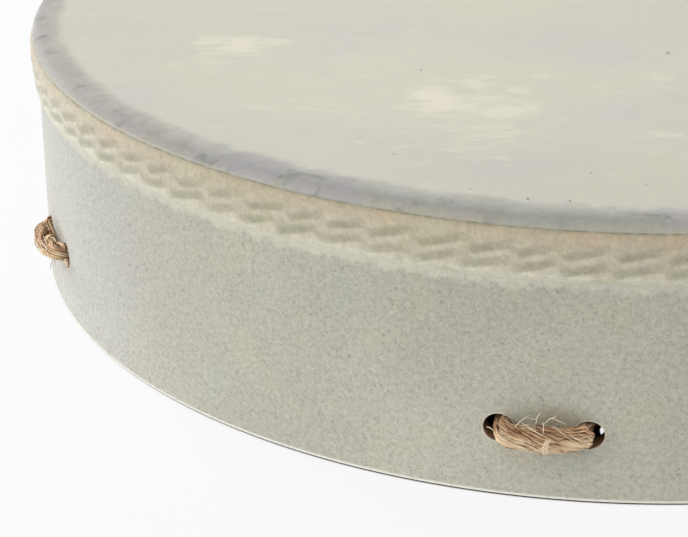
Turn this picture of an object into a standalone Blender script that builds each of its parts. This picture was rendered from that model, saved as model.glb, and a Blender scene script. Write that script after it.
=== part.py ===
"""Frame drum with a film head, a pressed collar and a rope handle.

The drum stands on the open lower edge of its shell, head up. The origin is the middle of that edge,
on the surface it rests on. +Z is up, and the grip of the handle lies along X. Sizes are in metres.

A rope passes out and in through each pair of holes, which leaves a short stitch on the outside, and
both its strands run across the open back to the grip, where a thinner cord binds them.
"""

import math

import bmesh
import bpy
from mathutils import Matrix, Vector

# Drum as a whole
DRUM_DIAMETER = 0.4064
DRUM_DEPTH = 0.0889

# Shell and its covering
SHELL_WALL = 0.0060
LOWER_EDGE_RADIUS = 0.0012
INNER_EDGE_CHAMFER = 0.0018
COVERING_THICKNESS = 0.0005
COVERING_LIFT = 0.0008
COVERING_SEAM_WIDTH = 0.0006
COVERING_SEAM_ANGLE = math.radians(0.0)

# Head: the rounded shoulder stands a little proud of the covering, and the skirt goes under the collar
HEAD_FILM = 0.0004
SHOULDER_WIDTH = 0.0080
SHOULDER_DROP = 0.0032
SHOULDER_OVERHANG = 0.0015
SHOULDER_UNDERCUT = 0.0008
SKIRT_LENGTH = 0.0120

# Collar: a pressed band whose two rolls end below in slanting lens-shaped hollows, over a thin flange
COLLAR_DEPTH = 0.0160
COLLAR_WALL = 0.0004
COLLAR_EDGE = 0.0004
COLLAR_TOP_INSET = 0.0004
COLLAR_TOP_BULGE = 0.0004
UPPER_ROLL_BULGE = 0.0011
UPPER_CREST_DEPTH = 0.0042
UPPER_HOLLOW_DEPTH = 0.0064
LOWER_ROLL_BULGE = 0.0010
LOWER_CREST_DEPTH = 0.0090
LOWER_HOLLOW_DEPTH = 0.0112
HOLLOW_END_BULGE = 0.0008
FLANGE_BULGE = 0.0003
FLANGE_DEPTH = 0.0132
HOLLOW_PITCH = 0.0146
HOLLOW_SLANT = 0.0024
LOWER_ROW_SHIFT = 0.0050

# Rope stations: the rope is squeezed in its holes, bends round their edges and swells again outside
ROPE_DIAMETER = 0.0080
ROPE_IN_HOLE = 0.0060
ROPE_AT_EDGE = 0.0065
ROPE_AFTER_BEND = 0.0072
ROPE_BEND_SLACK = 0.0008
ROPE_BEND_DEPTH = 0.0006
HOLE_DIAMETER = 0.0090
HOLE_SPACING = 0.0258
STATION_HEIGHT = 0.0224
STATION_ANGLE = math.radians(30.6)

# Handle
GRIP_LENGTH = 0.0900
GRIP_HEIGHT = 0.0235
STRAND_GAP = 0.0006
ROPE_END_GAP = 0.0012
ROPE_RUN_OUT = 0.0030
ROPE_STRAIGHT_AT_WALL = 0.0060
STRAND_TENSION = 0.42
BINDING_CORD = 0.0050
BINDING_TURN_GAP = 0.0005
BINDING_LIMIT = 24

# Clearance between pieces that touch
JOINT_GAP = 0.0003

# Fineness of the surfaces
TURN_STEPS = 76
SHOULDER_STEPS = 5
EDGE_STEPS = 2
HOLE_SIDES = 16
COLUMNS_PER_HOLLOW = 4
BEND_STEPS = 6
STRAND_STEPS = 8
CORNER_STEPS = 5
SHARP_ANGLE = math.radians(32.0)

# Radii and levels that follow from the sizes above
COVERING_RADIUS = DRUM_DIAMETER / 2
SHELL_RADIUS = COVERING_RADIUS - COVERING_THICKNESS - JOINT_GAP
SHELL_INNER_RADIUS = SHELL_RADIUS - SHELL_WALL
HEAD_RADIUS = COVERING_RADIUS + SHOULDER_OVERHANG
SHOULDER_CENTRE = HEAD_RADIUS - SHOULDER_WIDTH
SEAM_LEVEL = DRUM_DEPTH - SHOULDER_DROP
SKIRT_INNER_RADIUS = COVERING_RADIUS + JOINT_GAP
SKIRT_RADIUS = SKIRT_INNER_RADIUS + HEAD_FILM
SKIRT_TOP = SEAM_LEVEL - SHOULDER_UNDERCUT
SKIRT_BOTTOM = SKIRT_TOP - SKIRT_LENGTH
COLLAR_INNER_RADIUS = SKIRT_RADIUS + JOINT_GAP
COLLAR_TOP = SEAM_LEVEL - COLLAR_TOP_INSET
COLLAR_BOTTOM = COLLAR_TOP - COLLAR_DEPTH
ROPE_RADIUS = ROPE_DIAMETER / 2
HOLE_RADIUS = HOLE_DIAMETER / 2
STATION_ANGLES = {
    "right_back": STATION_ANGLE,
    "left_back": math.pi - STATION_ANGLE,
    "left_front": math.pi + STATION_ANGLE,
    "right_front": -STATION_ANGLE,
}


def clear_scene():
    for item in list(bpy.data.objects):
        bpy.data.objects.remove(item, do_unlink=True)


def make_material(name, colour, roughness, metallic=0.0):
    material = bpy.data.materials.new(name)
    material.use_nodes = True
    shader = material.node_tree.nodes["Principled BSDF"]
    shader.inputs["Base Color"].default_value = (*colour, 1.0)
    shader.inputs["Roughness"].default_value = roughness
    shader.inputs["Metallic"].default_value = metallic
    material.diffuse_color = (*colour, 1.0)
    return material


def add_object(name, data, material=None):
    item = bpy.data.objects.new(name, data)
    bpy.context.scene.collection.objects.link(item)
    if material is not None:
        data.materials.append(material)
    return item


def shade_round(mesh):
    mesh.shade_smooth()
    mesh.set_sharp_from_angle(angle=SHARP_ANGLE)


def mesh_from(bm, name):
    mesh = bpy.data.meshes.new(name)
    bm.to_mesh(mesh)
    bm.free()
    return mesh


def ellipse_arc(centre, half_width, half_height, start, end, steps):
    """Points (radius, height) along part of an ellipse, from one angle to another."""
    points = []
    for step in range(steps + 1):
        angle = start + (end - start) * step / steps
        points.append((centre[0] + half_width * math.cos(angle), centre[1] + half_height * math.sin(angle)))
    return points


def turned_piece(name, profile, material, closed):
    """A round piece: its profile, which runs down the outer side, turned once round Z."""
    mesh = bpy.data.meshes.new(name)
    count = len(profile)
    edges = [(index, index + 1) for index in range(count - 1)]
    if closed:
        edges.append((count - 1, 0))
    mesh.from_pydata([(radius, 0.0, height) for radius, height in profile], edges, [])
    item = add_object(name, mesh, material)
    screw = item.modifiers.new("turn", "SCREW")
    screw.axis = "Z"
    screw.angle = math.tau
    screw.screw_offset = 0.0
    screw.steps = TURN_STEPS
    screw.render_steps = TURN_STEPS
    screw.use_merge_vertices = True
    screw.merge_threshold = 0.00002
    screw.use_smooth_shade = True
    return item


def join_sections(bm, sections, closed):
    """Skin neighbouring sections of equal length. An open run gets a face on each end."""
    count = len(sections[0])
    last = len(sections) if closed else len(sections) - 1
    for index in range(last):
        near = sections[index]
        far = sections[(index + 1) % len(sections)]
        for side in range(count):
            following = (side + 1) % count
            bm.faces.new((near[side], near[following], far[following], far[side]))
    if not closed:
        bm.faces.new(tuple(reversed(sections[0])))
        bm.faces.new(tuple(sections[-1]))


def cut_holes(item, cutter):
    cut = item.modifiers.new("rope holes", "BOOLEAN")
    cut.operation = "DIFFERENCE"
    cut.solver = "EXACT"
    cut.object = cutter


def settle_mesh(item):
    """Turn the piece's modifiers into its own mesh and shade it smooth between its sharp edges."""
    graph = bpy.context.evaluated_depsgraph_get()
    mesh = bpy.data.meshes.new_from_object(item.evaluated_get(graph))
    item.modifiers.clear()
    item.data = mesh
    mesh.name = item.name
    shade_round(mesh)


# Shell
def shoulder_height(radius, inset):
    """Height of the head's shoulder, moved in by an inset, at a distance from the axis."""
    across = (radius - SHOULDER_CENTRE) / (SHOULDER_WIDTH - inset)
    across = min(max(across, 0.0), 1.0)
    return SEAM_LEVEL + (SHOULDER_DROP - inset) * math.sqrt(1.0 - across * across)


def make_shell(material):
    """The laminated ring. Its top follows the underside of the head's shoulder."""
    inset = HEAD_FILM + JOINT_GAP
    chamfer = min(INNER_EDGE_CHAMFER, SHELL_WALL / 3)
    crest_radius = SHELL_INNER_RADIUS + chamfer
    crest = []
    for step in range(SHOULDER_STEPS + 1):
        radius = crest_radius + (SHELL_RADIUS - crest_radius) * step / SHOULDER_STEPS
        crest.append((radius, shoulder_height(radius, inset)))
    rounding = min(LOWER_EDGE_RADIUS, SHELL_WALL / 3)
    outer_foot = (SHELL_RADIUS - rounding, rounding)
    inner_foot = (SHELL_INNER_RADIUS + rounding, rounding)
    quarter = math.pi / 2
    profile = [crest[-1]]
    profile += ellipse_arc(outer_foot, rounding, rounding, 0.0, -quarter, EDGE_STEPS)
    profile += ellipse_arc(inner_foot, rounding, rounding, -quarter, -2 * quarter, EDGE_STEPS)
    profile.append((SHELL_INNER_RADIUS, crest[0][1] - chamfer))
    profile += crest[:-1]
    return turned_piece("shell", profile, material, closed=True)


# Shell covering
def make_covering(material):
    """The thin sheet round the shell. Its two ends meet at a seam on the far side."""
    top = SEAM_LEVEL - JOINT_GAP
    inner = COVERING_RADIUS - COVERING_THICKNESS
    outline = [(inner, COVERING_LIFT), (COVERING_RADIUS, COVERING_LIFT), (COVERING_RADIUS, top), (inner, top)]
    half_seam = COVERING_SEAM_WIDTH / 2 / COVERING_RADIUS
    turn = math.tau / TURN_STEPS
    angles = [half_seam] + [turn * step for step in range(1, TURN_STEPS)] + [math.tau - half_seam]
    bm = bmesh.new()
    sections = []
    for angle in angles:
        spin = Matrix.Rotation(COVERING_SEAM_ANGLE + angle, 3, "Z")
        sections.append([bm.verts.new(spin @ Vector((radius, 0.0, height))) for radius, height in outline])
    join_sections(bm, sections, closed=False)
    bmesh.ops.recalc_face_normals(bm, faces=bm.faces)
    return add_object("shell_covering", mesh_from(bm, "shell_covering"), material)


# Head
def make_head(material):
    """One film: a flat face, a rounded shoulder, and a skirt set in below the shoulder."""
    centre = (SHOULDER_CENTRE, SEAM_LEVEL)
    quarter = math.pi / 2
    outer = ellipse_arc(centre, SHOULDER_WIDTH, SHOULDER_DROP, quarter, 0.0, SHOULDER_STEPS)
    inner = ellipse_arc(
        centre, SHOULDER_WIDTH - HEAD_FILM, SHOULDER_DROP - HEAD_FILM, 0.0, quarter, SHOULDER_STEPS
    )
    profile = [(0.0, DRUM_DEPTH)] + outer
    profile += [(SKIRT_RADIUS, SKIRT_TOP), (SKIRT_RADIUS, SKIRT_BOTTOM)]
    profile += [(SKIRT_INNER_RADIUS, SKIRT_BOTTOM), (SKIRT_INNER_RADIUS, SKIRT_TOP - HEAD_FILM / 2)]
    profile += inner + [(0.0, DRUM_DEPTH - HEAD_FILM)]
    return turned_piece("drum_head", profile, material, closed=False)


# Collar
def collar_section(angle, hollows):
    """The collar's section at an angle: down its relief, then up its plain inner face.

    Each hollow rises to the right, seen from outside, and is deepest in its middle.
    """
    base = COLLAR_INNER_RADIUS + COLLAR_WALL

    def along_hollow(shift):
        turns = hollows * (angle - shift / COLLAR_INNER_RADIUS) / math.tau
        return turns - math.floor(turns)

    def crest(depth, bulge, shift):
        rise = HOLLOW_SLANT * (along_hollow(shift) - 0.5)
        return (base + bulge, COLLAR_TOP - depth + rise)

    def hollow(depth, shift):
        filled = 1.0 - math.sin(math.pi * along_hollow(shift))
        return crest(depth, HOLLOW_END_BULGE * filled, shift)

    points = [
        (base + COLLAR_TOP_BULGE, COLLAR_TOP),
        crest(UPPER_CREST_DEPTH, UPPER_ROLL_BULGE, 0.0),
        hollow(UPPER_HOLLOW_DEPTH, 0.0),
        crest(LOWER_CREST_DEPTH, LOWER_ROLL_BULGE, LOWER_ROW_SHIFT),
        hollow(LOWER_HOLLOW_DEPTH, LOWER_ROW_SHIFT),
        (base + FLANGE_BULGE, COLLAR_TOP - FLANGE_DEPTH),
        (COVERING_RADIUS + JOINT_GAP + COLLAR_EDGE, COLLAR_BOTTOM),
        (COVERING_RADIUS + JOINT_GAP, COLLAR_BOTTOM),
        (COLLAR_INNER_RADIUS, SKIRT_BOTTOM - JOINT_GAP),
        (COLLAR_INNER_RADIUS, COLLAR_TOP - COLLAR_WALL),
    ]
    spin = Matrix.Rotation(angle, 3, "Z")
    return [spin @ Vector((radius, 0.0, height)) for radius, height in points]


def make_collar(material):
    circumference = math.tau * COLLAR_INNER_RADIUS
    hollows = round(circumference / HOLLOW_PITCH)
    columns = hollows * COLUMNS_PER_HOLLOW
    bm = bmesh.new()
    sections = []
    for column in range(columns):
        points = collar_section(math.tau * (column + 0.5) / columns, hollows)
        sections.append([bm.verts.new(point) for point in points])
    join_sections(bm, sections, closed=True)
    bmesh.ops.recalc_face_normals(bm, faces=bm.faces)
    mesh = mesh_from(bm, "head_collar")
    shade_round(mesh)
    return add_object("head_collar", mesh, material)


# Rope holes
def station_frame(angle):
    """The outward, sideways and upward directions at a rope station."""
    outward = Vector((math.cos(angle), math.sin(angle), 0.0))
    sideways = Vector((-math.sin(angle), math.cos(angle), 0.0))
    return outward, sideways, Vector((0.0, 0.0, 1.0))


def make_hole_cutter():
    """Two cylinders for each station, square to the shell at the middle of the pair."""
    bm = bmesh.new()
    reach = COVERING_RADIUS + SHELL_WALL
    start = SHELL_INNER_RADIUS - SHELL_WALL
    for angle in STATION_ANGLES.values():
        outward, sideways, upward = station_frame(angle)
        for side in (-1, 1):
            middle = outward * (reach + start) / 2 + sideways * side * HOLE_SPACING / 2
            middle += upward * STATION_HEIGHT
            place = Matrix((sideways, upward, outward)).transposed().to_4x4()
            place.translation = middle
            bmesh.ops.create_cone(
                bm,
                cap_ends=True,
                segments=HOLE_SIDES,
                radius1=HOLE_RADIUS,
                radius2=HOLE_RADIUS,
                depth=reach - start,
                matrix=place,
            )
    bmesh.ops.recalc_face_normals(bm, faces=bm.faces)
    cutter = add_object("rope_hole_cutter", mesh_from(bm, "rope_hole_cutter"))
    cutter.hide_render = True
    cutter.display_type = "WIRE"
    return cutter


# Handle ropes. A route is a list of places, each a point and the rope's radius there.
def smooth_step(share):
    return share * share * (3 - 2 * share)


def level_step(share):
    """Like smooth_step, and flatter at both ends."""
    return share**3 * (share * (6 * share - 15) + 10)


def stitch_plan():
    """Half a stitch, from inside the shell to its middle: sideways and outward distances and radii.

    The rope goes straight out along its hole, close to the hole's inner side, bends round the edge
    there and lies along the wall. It is squeezed in the hole and swells to its full size outside.
    """
    squeezed = ROPE_IN_HOLE / 2
    after_bend = ROPE_AFTER_BEND / 2
    bend = ROPE_RADIUS + ROPE_BEND_SLACK
    edge_side = HOLE_SPACING / 2 - HOLE_RADIUS
    edge_out = math.sqrt(COVERING_RADIUS**2 - edge_side**2)
    reach = bend - ROPE_AT_EDGE / 2 - JOINT_GAP
    centre_side = edge_side - math.sqrt(max(reach**2 - ROPE_BEND_DEPTH**2, 0.0))
    centre_out = edge_out - ROPE_BEND_DEPTH
    hole_side = centre_side + bend
    wall_face = SHELL_INNER_RADIUS - JOINT_GAP
    plan = []
    for share in (1.0, 0.5, 0.0):
        radius = squeezed + (ROPE_RADIUS - squeezed) * smooth_step(share)
        plan.append((hole_side, wall_face - ROPE_STRAIGHT_AT_WALL * share, radius))
    for step in range(BEND_STEPS + 1):
        turn = math.pi / 2 * step / BEND_STEPS
        side = centre_side + bend * math.cos(turn)
        out = centre_out + bend * math.sin(turn)
        plan.append((side, out, squeezed + (after_bend - squeezed) * smooth_step(step / BEND_STEPS)))
    crown = COVERING_RADIUS + JOINT_GAP + ROPE_RADIUS
    _, bend_top, _ = plan[-1]
    for share in (0.5, 1.0):
        rise = smooth_step(share)
        out = bend_top + (crown - bend_top) * rise
        plan.append((centre_side * (1 - share), out, after_bend + (ROPE_RADIUS - after_bend) * rise))
    return plan


def stitch_route(angle):
    """The stitch at a station, out through its first hole and back in through its second."""
    outward, sideways, upward = station_frame(angle)
    half = stitch_plan()
    whole = [(-side, out, radius) for side, out, radius in half]
    whole += [(side, out, radius) for side, out, radius in reversed(half[:-1])]
    base = upward * STATION_HEIGHT
    return [(base + sideways * side + outward * out, radius) for side, out, radius in whole]


def strand_route(grip_end, mouth, inward):
    """From the grip's end to a hole's mouth in the shell, without its two end points.

    In plan the strand is one smooth curve. It keeps its level in the grip until it has left its
    neighbour, and then comes to the level of the hole.
    """
    span = (mouth - grip_end).length
    along = Vector((math.copysign(1.0, grip_end.x), 0.0, 0.0)) * span * STRAND_TENSION
    into_wall = -inward * span * STRAND_TENSION
    places = []
    for step in range(1, STRAND_STEPS):
        s = step / STRAND_STEPS
        point = grip_end * (2 * s**3 - 3 * s**2 + 1) + along * (s**3 - 2 * s**2 + s)
        point += mouth * (3 * s**2 - 2 * s**3) + into_wall * (s**3 - s**2)
        point.z = grip_end.z + (mouth.z - grip_end.z) * level_step(s)
        places.append((point, ROPE_RADIUS))
    return places


def rope_route(side):
    """One rope's route: side is 1 for the rope at the back (+Y) and -1 for the one in front."""
    pitch = ROPE_DIAMETER + STRAND_GAP
    straight = GRIP_LENGTH / 2 + ROPE_RUN_OUT

    def grip_place(x, level):
        return Vector((x, side * pitch / 2, GRIP_HEIGHT + level * pitch / 2)), ROPE_RADIUS

    def station_loop(name, direction, first_level):
        outward, _, _ = station_frame(STATION_ANGLES[name])
        stitch = stitch_route(STATION_ANGLES[name])
        if direction < 0:
            stitch.reverse()
        grip_x = math.copysign(straight, outward.x)
        leaving = grip_place(grip_x, first_level)
        coming = grip_place(grip_x, -first_level)
        out_run = strand_route(leaving[0], stitch[0][0], -outward)
        back_run = strand_route(coming[0], stitch[-1][0], -outward)
        back_run.reverse()
        return [leaving] + out_run + stitch + back_run + [coming]

    row = "back" if side > 0 else "front"
    route = [grip_place(ROPE_END_GAP / 2, -1)]
    route += station_loop("right_" + row, side, -1)
    route += station_loop("left_" + row, side, 1)
    route.append(grip_place(-ROPE_END_GAP / 2, -1))
    return route


def make_tube(name, route, diameter, resolution, material):
    """A cord: a round tube along a route, closed at both ends."""
    curve = bpy.data.curves.new(name, "CURVE")
    curve.dimensions = "3D"
    curve.bevel_depth = diameter / 2
    curve.bevel_resolution = resolution
    curve.use_fill_caps = True
    spline = curve.splines.new("POLY")
    spline.points.add(len(route) - 1)
    for place, (point, radius) in zip(spline.points, route):
        place.co = (*point, 1.0)
        place.radius = radius / (diameter / 2)
    spline.use_smooth = True
    return add_object(name, curve, material)


# Grip binding
def binding_turn():
    """One turn round the four strands, seen along X: four straight sides and four rounded corners."""
    strand = (ROPE_DIAMETER + STRAND_GAP) / 2
    radius = ROPE_RADIUS + JOINT_GAP + BINDING_CORD / 2
    points = []
    for corner in range(4):
        middle = math.pi / 4 - corner * math.pi / 2
        centre_y = math.copysign(strand, math.cos(middle))
        centre_z = math.copysign(strand, math.sin(middle))
        for step in range(CORNER_STEPS + 1):
            angle = middle + math.pi / 4 - math.pi / 2 * step / CORNER_STEPS
            points.append((centre_y + radius * math.cos(angle), centre_z + radius * math.sin(angle)))
    return points


def binding_route():
    """An unbroken winding along the grip, which starts and ends on a straight side."""
    pitch = BINDING_CORD + BINDING_TURN_GAP
    turn = binding_turn()
    turns = min(int((GRIP_LENGTH - BINDING_CORD) / pitch), BINDING_LIMIT)
    lengths = [math.dist(turn[index], turn[index - 1]) for index in range(len(turn))]
    around = sum(lengths)
    corners = turn * turns + turn[:1]
    travelled = 0.0
    advance = [0.0]
    for index in range(1, len(corners)):
        travelled += lengths[index % len(turn)]
        advance.append(pitch * travelled / around)
    start = -advance[-1] / 2
    route = []
    for step, (y, z) in zip(advance, corners):
        route.append((Vector((start + step, y, GRIP_HEIGHT + z)), BINDING_CORD / 2))
    return route, len(turn)


def fill_points(route, spacing):
    """The points of a route with more between them, no further apart than the spacing."""
    points = [point for point, _ in route]
    filled = [points[0]]
    for start, end in zip(points, points[1:]):
        parts = max(1, math.ceil((end - start).length / spacing))
        for part in range(1, parts + 1):
            filled.append(start.lerp(end, part / parts))
    return filled


def least_gap(points, diameter, apart):
    """The least gap of a cord to itself, between points at least so many places apart."""
    least = math.inf
    for index, point in enumerate(points):
        for other in points[index + apart :]:
            least = min(least, (point - other).length)
    return least - diameter


def main():
    clear_scene()
    fibre_core = make_material("fibre_core", (0.075, 0.042, 0.022), 0.75)
    speckled_fibre = make_material("speckled_fibre", (0.44, 0.44, 0.36), 0.70)
    skin_film = make_material("skin_film", (0.66, 0.64, 0.56), 0.45)
    pressed_band = make_material("pressed_band", (0.56, 0.49, 0.36), 0.55)
    straw_rope = make_material("straw_rope", (0.58, 0.42, 0.24), 0.85)
    straw_cord = make_material("straw_cord", (0.52, 0.37, 0.21), 0.85)

    cutter = make_hole_cutter()
    shell = make_shell(fibre_core)
    covering = make_covering(speckled_fibre)
    for item in (shell, covering):
        cut_holes(item, cutter)
        settle_mesh(item)
    settle_mesh(make_head(skin_film))
    make_collar(pressed_band)

    for name, side in (("handle_rope_back", 1), ("handle_rope_front", -1)):
        route = rope_route(side)
        make_tube(name, route, ROPE_DIAMETER, 2, straw_rope)
        spacing = ROPE_RADIUS / 2
        diameter_places = round(ROPE_DIAMETER / spacing)
        between_ends = fill_points(route, spacing)[diameter_places:-diameter_places]
        gap = least_gap(between_ends, ROPE_DIAMETER, 2 * diameter_places)
        print(f"{name}: least gap between its strands {gap * 1000:.2f} mm")

    route, turn_places = binding_route()
    make_tube("grip_binding", route, BINDING_CORD, 1, straw_cord)
    gap = least_gap([point for point, _ in route], BINDING_CORD, turn_places - CORNER_STEPS)
    print(f"grip_binding: least gap to itself {gap * 1000:.2f} mm")


main()
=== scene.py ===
"""Frame drum: the looks of each piece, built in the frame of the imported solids. Sizes are in metres.

The drum stands on its open lower edge, head up. Each shown piece replaces the solid whose name it
carries, and stays where that solid is.
"""

import math

import bmesh
import bpy
import numpy as np
from mathutils import Matrix, Vector


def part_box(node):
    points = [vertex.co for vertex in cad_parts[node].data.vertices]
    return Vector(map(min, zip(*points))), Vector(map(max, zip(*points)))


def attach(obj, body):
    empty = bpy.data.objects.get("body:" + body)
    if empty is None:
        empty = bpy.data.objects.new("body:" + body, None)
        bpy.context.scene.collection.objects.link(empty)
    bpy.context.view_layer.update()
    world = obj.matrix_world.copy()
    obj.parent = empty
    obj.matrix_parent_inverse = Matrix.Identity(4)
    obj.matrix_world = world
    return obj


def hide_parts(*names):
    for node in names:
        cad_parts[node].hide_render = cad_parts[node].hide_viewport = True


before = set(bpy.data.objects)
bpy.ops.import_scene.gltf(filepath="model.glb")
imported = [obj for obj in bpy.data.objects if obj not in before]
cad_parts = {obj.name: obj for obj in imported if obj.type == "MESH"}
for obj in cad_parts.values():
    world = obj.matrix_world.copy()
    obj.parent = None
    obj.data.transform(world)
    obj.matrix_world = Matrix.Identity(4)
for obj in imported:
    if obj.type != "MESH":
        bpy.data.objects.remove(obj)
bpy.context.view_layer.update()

# Sizes read from the solids
COVERING_LOW, COVERING_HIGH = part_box("shell_covering")
SHELL_LOW, SHELL_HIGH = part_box("shell")
HEAD_LOW, HEAD_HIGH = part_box("drum_head")
COLLAR_LOW, COLLAR_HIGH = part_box("head_collar")
COVERING_RADIUS = COVERING_HIGH.y
SHELL_RADIUS = SHELL_HIGH.x
HEAD_RADIUS = HEAD_HIGH.x
DRUM_DEPTH = HEAD_HIGH.z
COLLAR_DEPTH = COLLAR_HIGH.z - COLLAR_LOW.z

# Shell, covering and head, as in the solids
SHELL_WALL = 0.0060
SHELL_EDGE_RADIUS = 0.0012
SHELL_INNER_RADIUS = SHELL_RADIUS - SHELL_WALL
COVERING_THICKNESS = 0.0005
COVERING_SEAM = 0.0006
HEAD_FILM = 0.0004
SHOULDER_WIDTH = 0.0080
SHOULDER_DROP = 0.0032
SEAM_LEVEL = DRUM_DEPTH - SHOULDER_DROP
JOINT_GAP = 0.0003

# Collar: two rolls, each with a row of slanting hollows, over a thin flange with a feathered lower edge
COLLAR_BASE_RADIUS = COVERING_RADIUS + 0.0014
COLLAR_TOP = SEAM_LEVEL - 0.0001
HOLLOW_PITCH = 0.0146
# On the photographed side the hollows lie a little closer. Their first starts along the rim, upper row first
HOLLOW_STARTS = (0.5480, 0.5460)
SEEN_HOLLOWS = 17
SEEN_PITCH = 0.0139
HOLLOW_RISE = 0.0031
HOLLOW_DIP = 0.00056
HOLLOW_BLUNT_END = 0.10
ROW_DEPTHS = (0.0074, 0.0126)
FLANGE_DEPTH = 0.0140

# Rope stations and handle, as in the solids
ROPE_DIAMETER = 0.0080
ROPE_RADIUS = ROPE_DIAMETER / 2
# The rope as it shows at a stitch: its depth off the wall
DEPTH_IN_HOLE = 0.0058
DEPTH_AT_EDGE = 0.0056
DEPTH_AFTER_BEND = 0.0064
DEPTH_AT_MIDDLE = 0.0077
BEND_RADIUS = 0.0039
BEND_DEPTH = 0.0003
# The section's height as a share of its width, and the lift of its middle: in the hole, after the bend, in the middle
PLAIN_STITCH = ((1.36, -0.0001), (1.22, 0.0002), (1.06, -0.0005))
RAISED_STITCH = ((0.92, 0.0008), (0.90, 0.0006), (0.88, 0.0004))
HOLE_DIAMETER = 0.0090
HOLE_SPACING = 0.0258
STATION_HEIGHT = 0.0224
CUT_EDGE = 0.0051
STATION_ANGLE = math.radians(30.6)
GRIP_LENGTH = 0.0900
GRIP_HEIGHT = 0.0235
STRAND_GAP = 0.0006
ROPE_END_GAP = 0.0012
ROPE_RUN_OUT = 0.0030
ROPE_STRAIGHT_AT_WALL = 0.0060
STRAND_TENSION = 0.42
BEND_STEPS = 6
STRAND_STEPS = 8
BINDING_CORD = 0.0050
BINDING_TURN_GAP = 0.0005
CORNER_STEPS = 5
STATION_ANGLES = {
    "right_back": STATION_ANGLE,
    "left_back": math.pi - STATION_ANGLE,
    "left_front": math.pi + STATION_ANGLE,
    "right_front": -STATION_ANGLE,
}

# Lay of the rope and of the binding cord
ROPE_LAY = 0.0360
FRONT_PHASE = 0.5
MM = 0.001
STRAND_LIFT = 0.0002
BACK_PHASE = 1.4
YARN_LAY = 0.0900
CORD_LAY = 0.0150
ROUTE_STEP = 0.0010
YARN_STEP = 0.0016

# Marks on the head, in the photographer's own directions: place (x, y), half width, half depth, strength
CREAM_PATCHES = (
    (-0.0560, -0.1120, 0.0400, 0.0370, 0.44),
    (-0.0560, -0.1420, 0.0360, 0.0260, 0.34),
    (-0.1310, -0.0560, 0.0300, 0.0320, 0.36),
    (-0.0650, -0.1050, 0.0170, 0.0210, 1.00),
    (-0.0745, -0.1080, 0.0100, 0.0130, 0.60),
    (-0.0530, -0.0890, 0.0130, 0.0070, 0.75),
    (-0.0490, -0.0820, 0.0070, 0.0035, 0.50),
    (-0.0386, -0.0965, 0.0080, 0.0090, 0.75),
    (-0.0450, -0.1190, 0.0140, 0.0120, 0.95),
    (-0.0350, -0.1130, 0.0070, 0.0110, 0.60),
    (-0.0500, -0.1310, 0.0130, 0.0110, 0.55),
    (-0.0610, -0.1300, 0.0110, 0.0130, 0.50),
    (-0.0600, -0.1450, 0.0160, 0.0130, 0.45),
    (-0.0467, -0.1560, 0.0110, 0.0110, 0.42),
    (-0.1000, -0.1120, 0.0260, 0.0170, 0.30),
    (-0.0275, -0.0818, 0.0070, 0.0065, 0.42),
    (-0.0270, -0.1243, 0.0070, 0.0045, 0.45),
    (0.0022, -0.1380, 0.0120, 0.0070, 0.48),
    (0.0094, -0.0850, 0.0110, 0.0100, 0.62),
    (-0.1290, -0.0480, 0.0140, 0.0170, 1.00),
    (-0.1390, -0.0440, 0.0110, 0.0110, 0.75),
    (-0.1190, -0.0480, 0.0100, 0.0110, 0.70),
    (-0.1330, -0.0700, 0.0150, 0.0160, 0.45),
    (-0.1500, -0.0750, 0.0130, 0.0080, 0.32),
    (-0.0700, 0.0300, 0.0300, 0.0220, 0.80),
    (-0.0480, 0.0160, 0.0140, 0.0120, 0.70),
    (0.0400, 0.0900, 0.0240, 0.0300, 0.95),
    (0.0620, 0.0820, 0.0150, 0.0120, 0.70),
    (0.1200, -0.0300, 0.0180, 0.0220, 0.90),
    (0.0800, -0.1100, 0.0220, 0.0130, 0.60),
    (-0.0900, 0.1250, 0.0250, 0.0160, 0.85),
    (0.1300, 0.0700, 0.0160, 0.0240, 0.60),
)
# Cooler patches, in the same form
GREY_PATCHES = (
    (-0.0080, -0.0600, 0.0240, 0.0240, 0.75),
    (-0.0090, -0.1180, 0.0180, 0.0180, 0.60),
    (-0.1620, -0.1020, 0.0220, 0.0240, 0.75),
    (-0.0930, -0.0520, 0.0220, 0.0160, 0.55),
    (-0.1080, -0.0680, 0.0120, 0.0120, 0.50),
    (0.0700, 0.0300, 0.0300, 0.0260, 0.60),
    (-0.1300, 0.0500, 0.0260, 0.0300, 0.60),
)
# Place (x, y), half width, half depth and strength of each speck
HEAD_SPECKS = (
    (-0.0685, -0.0764, 0.0004, 0.0009, 0.75),
    (-0.0232, -0.1678, 0.0004, 0.0008, 0.55),
    (-0.0088, -0.1769, 0.0004, 0.0007, 0.40),
    (-0.0429, -0.1873, 0.0006, 0.0009, 0.70),
    (-0.0791, -0.1527, 0.0005, 0.0009, 0.30),
    (-0.0585, -0.1799, 0.0006, 0.0010, 0.25),
    (-0.0314, -0.1887, 0.0005, 0.0008, 0.70),
    (0.0149, -0.0586, 0.0009, 0.0022, 0.45),
    (-0.1300, 0.0200, 0.0005, 0.0006, 0.60),
    (0.0600, 0.0350, 0.0006, 0.0005, 0.70),
    (0.1450, -0.0700, 0.0005, 0.0005, 0.60),
    (0.0200, 0.1500, 0.0006, 0.0006, 0.50),
    (0.1000, 0.1200, 0.0004, 0.0005, 0.60),
    (-0.0300, 0.0800, 0.0005, 0.0005, 0.60),
)
# A glowing spot of floor, a painted highlight that shows through a rope hole
FLOOR_GLINT = ((-0.0139, -0.1590, 0.0011, 0.0036, 1.0),)
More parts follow.
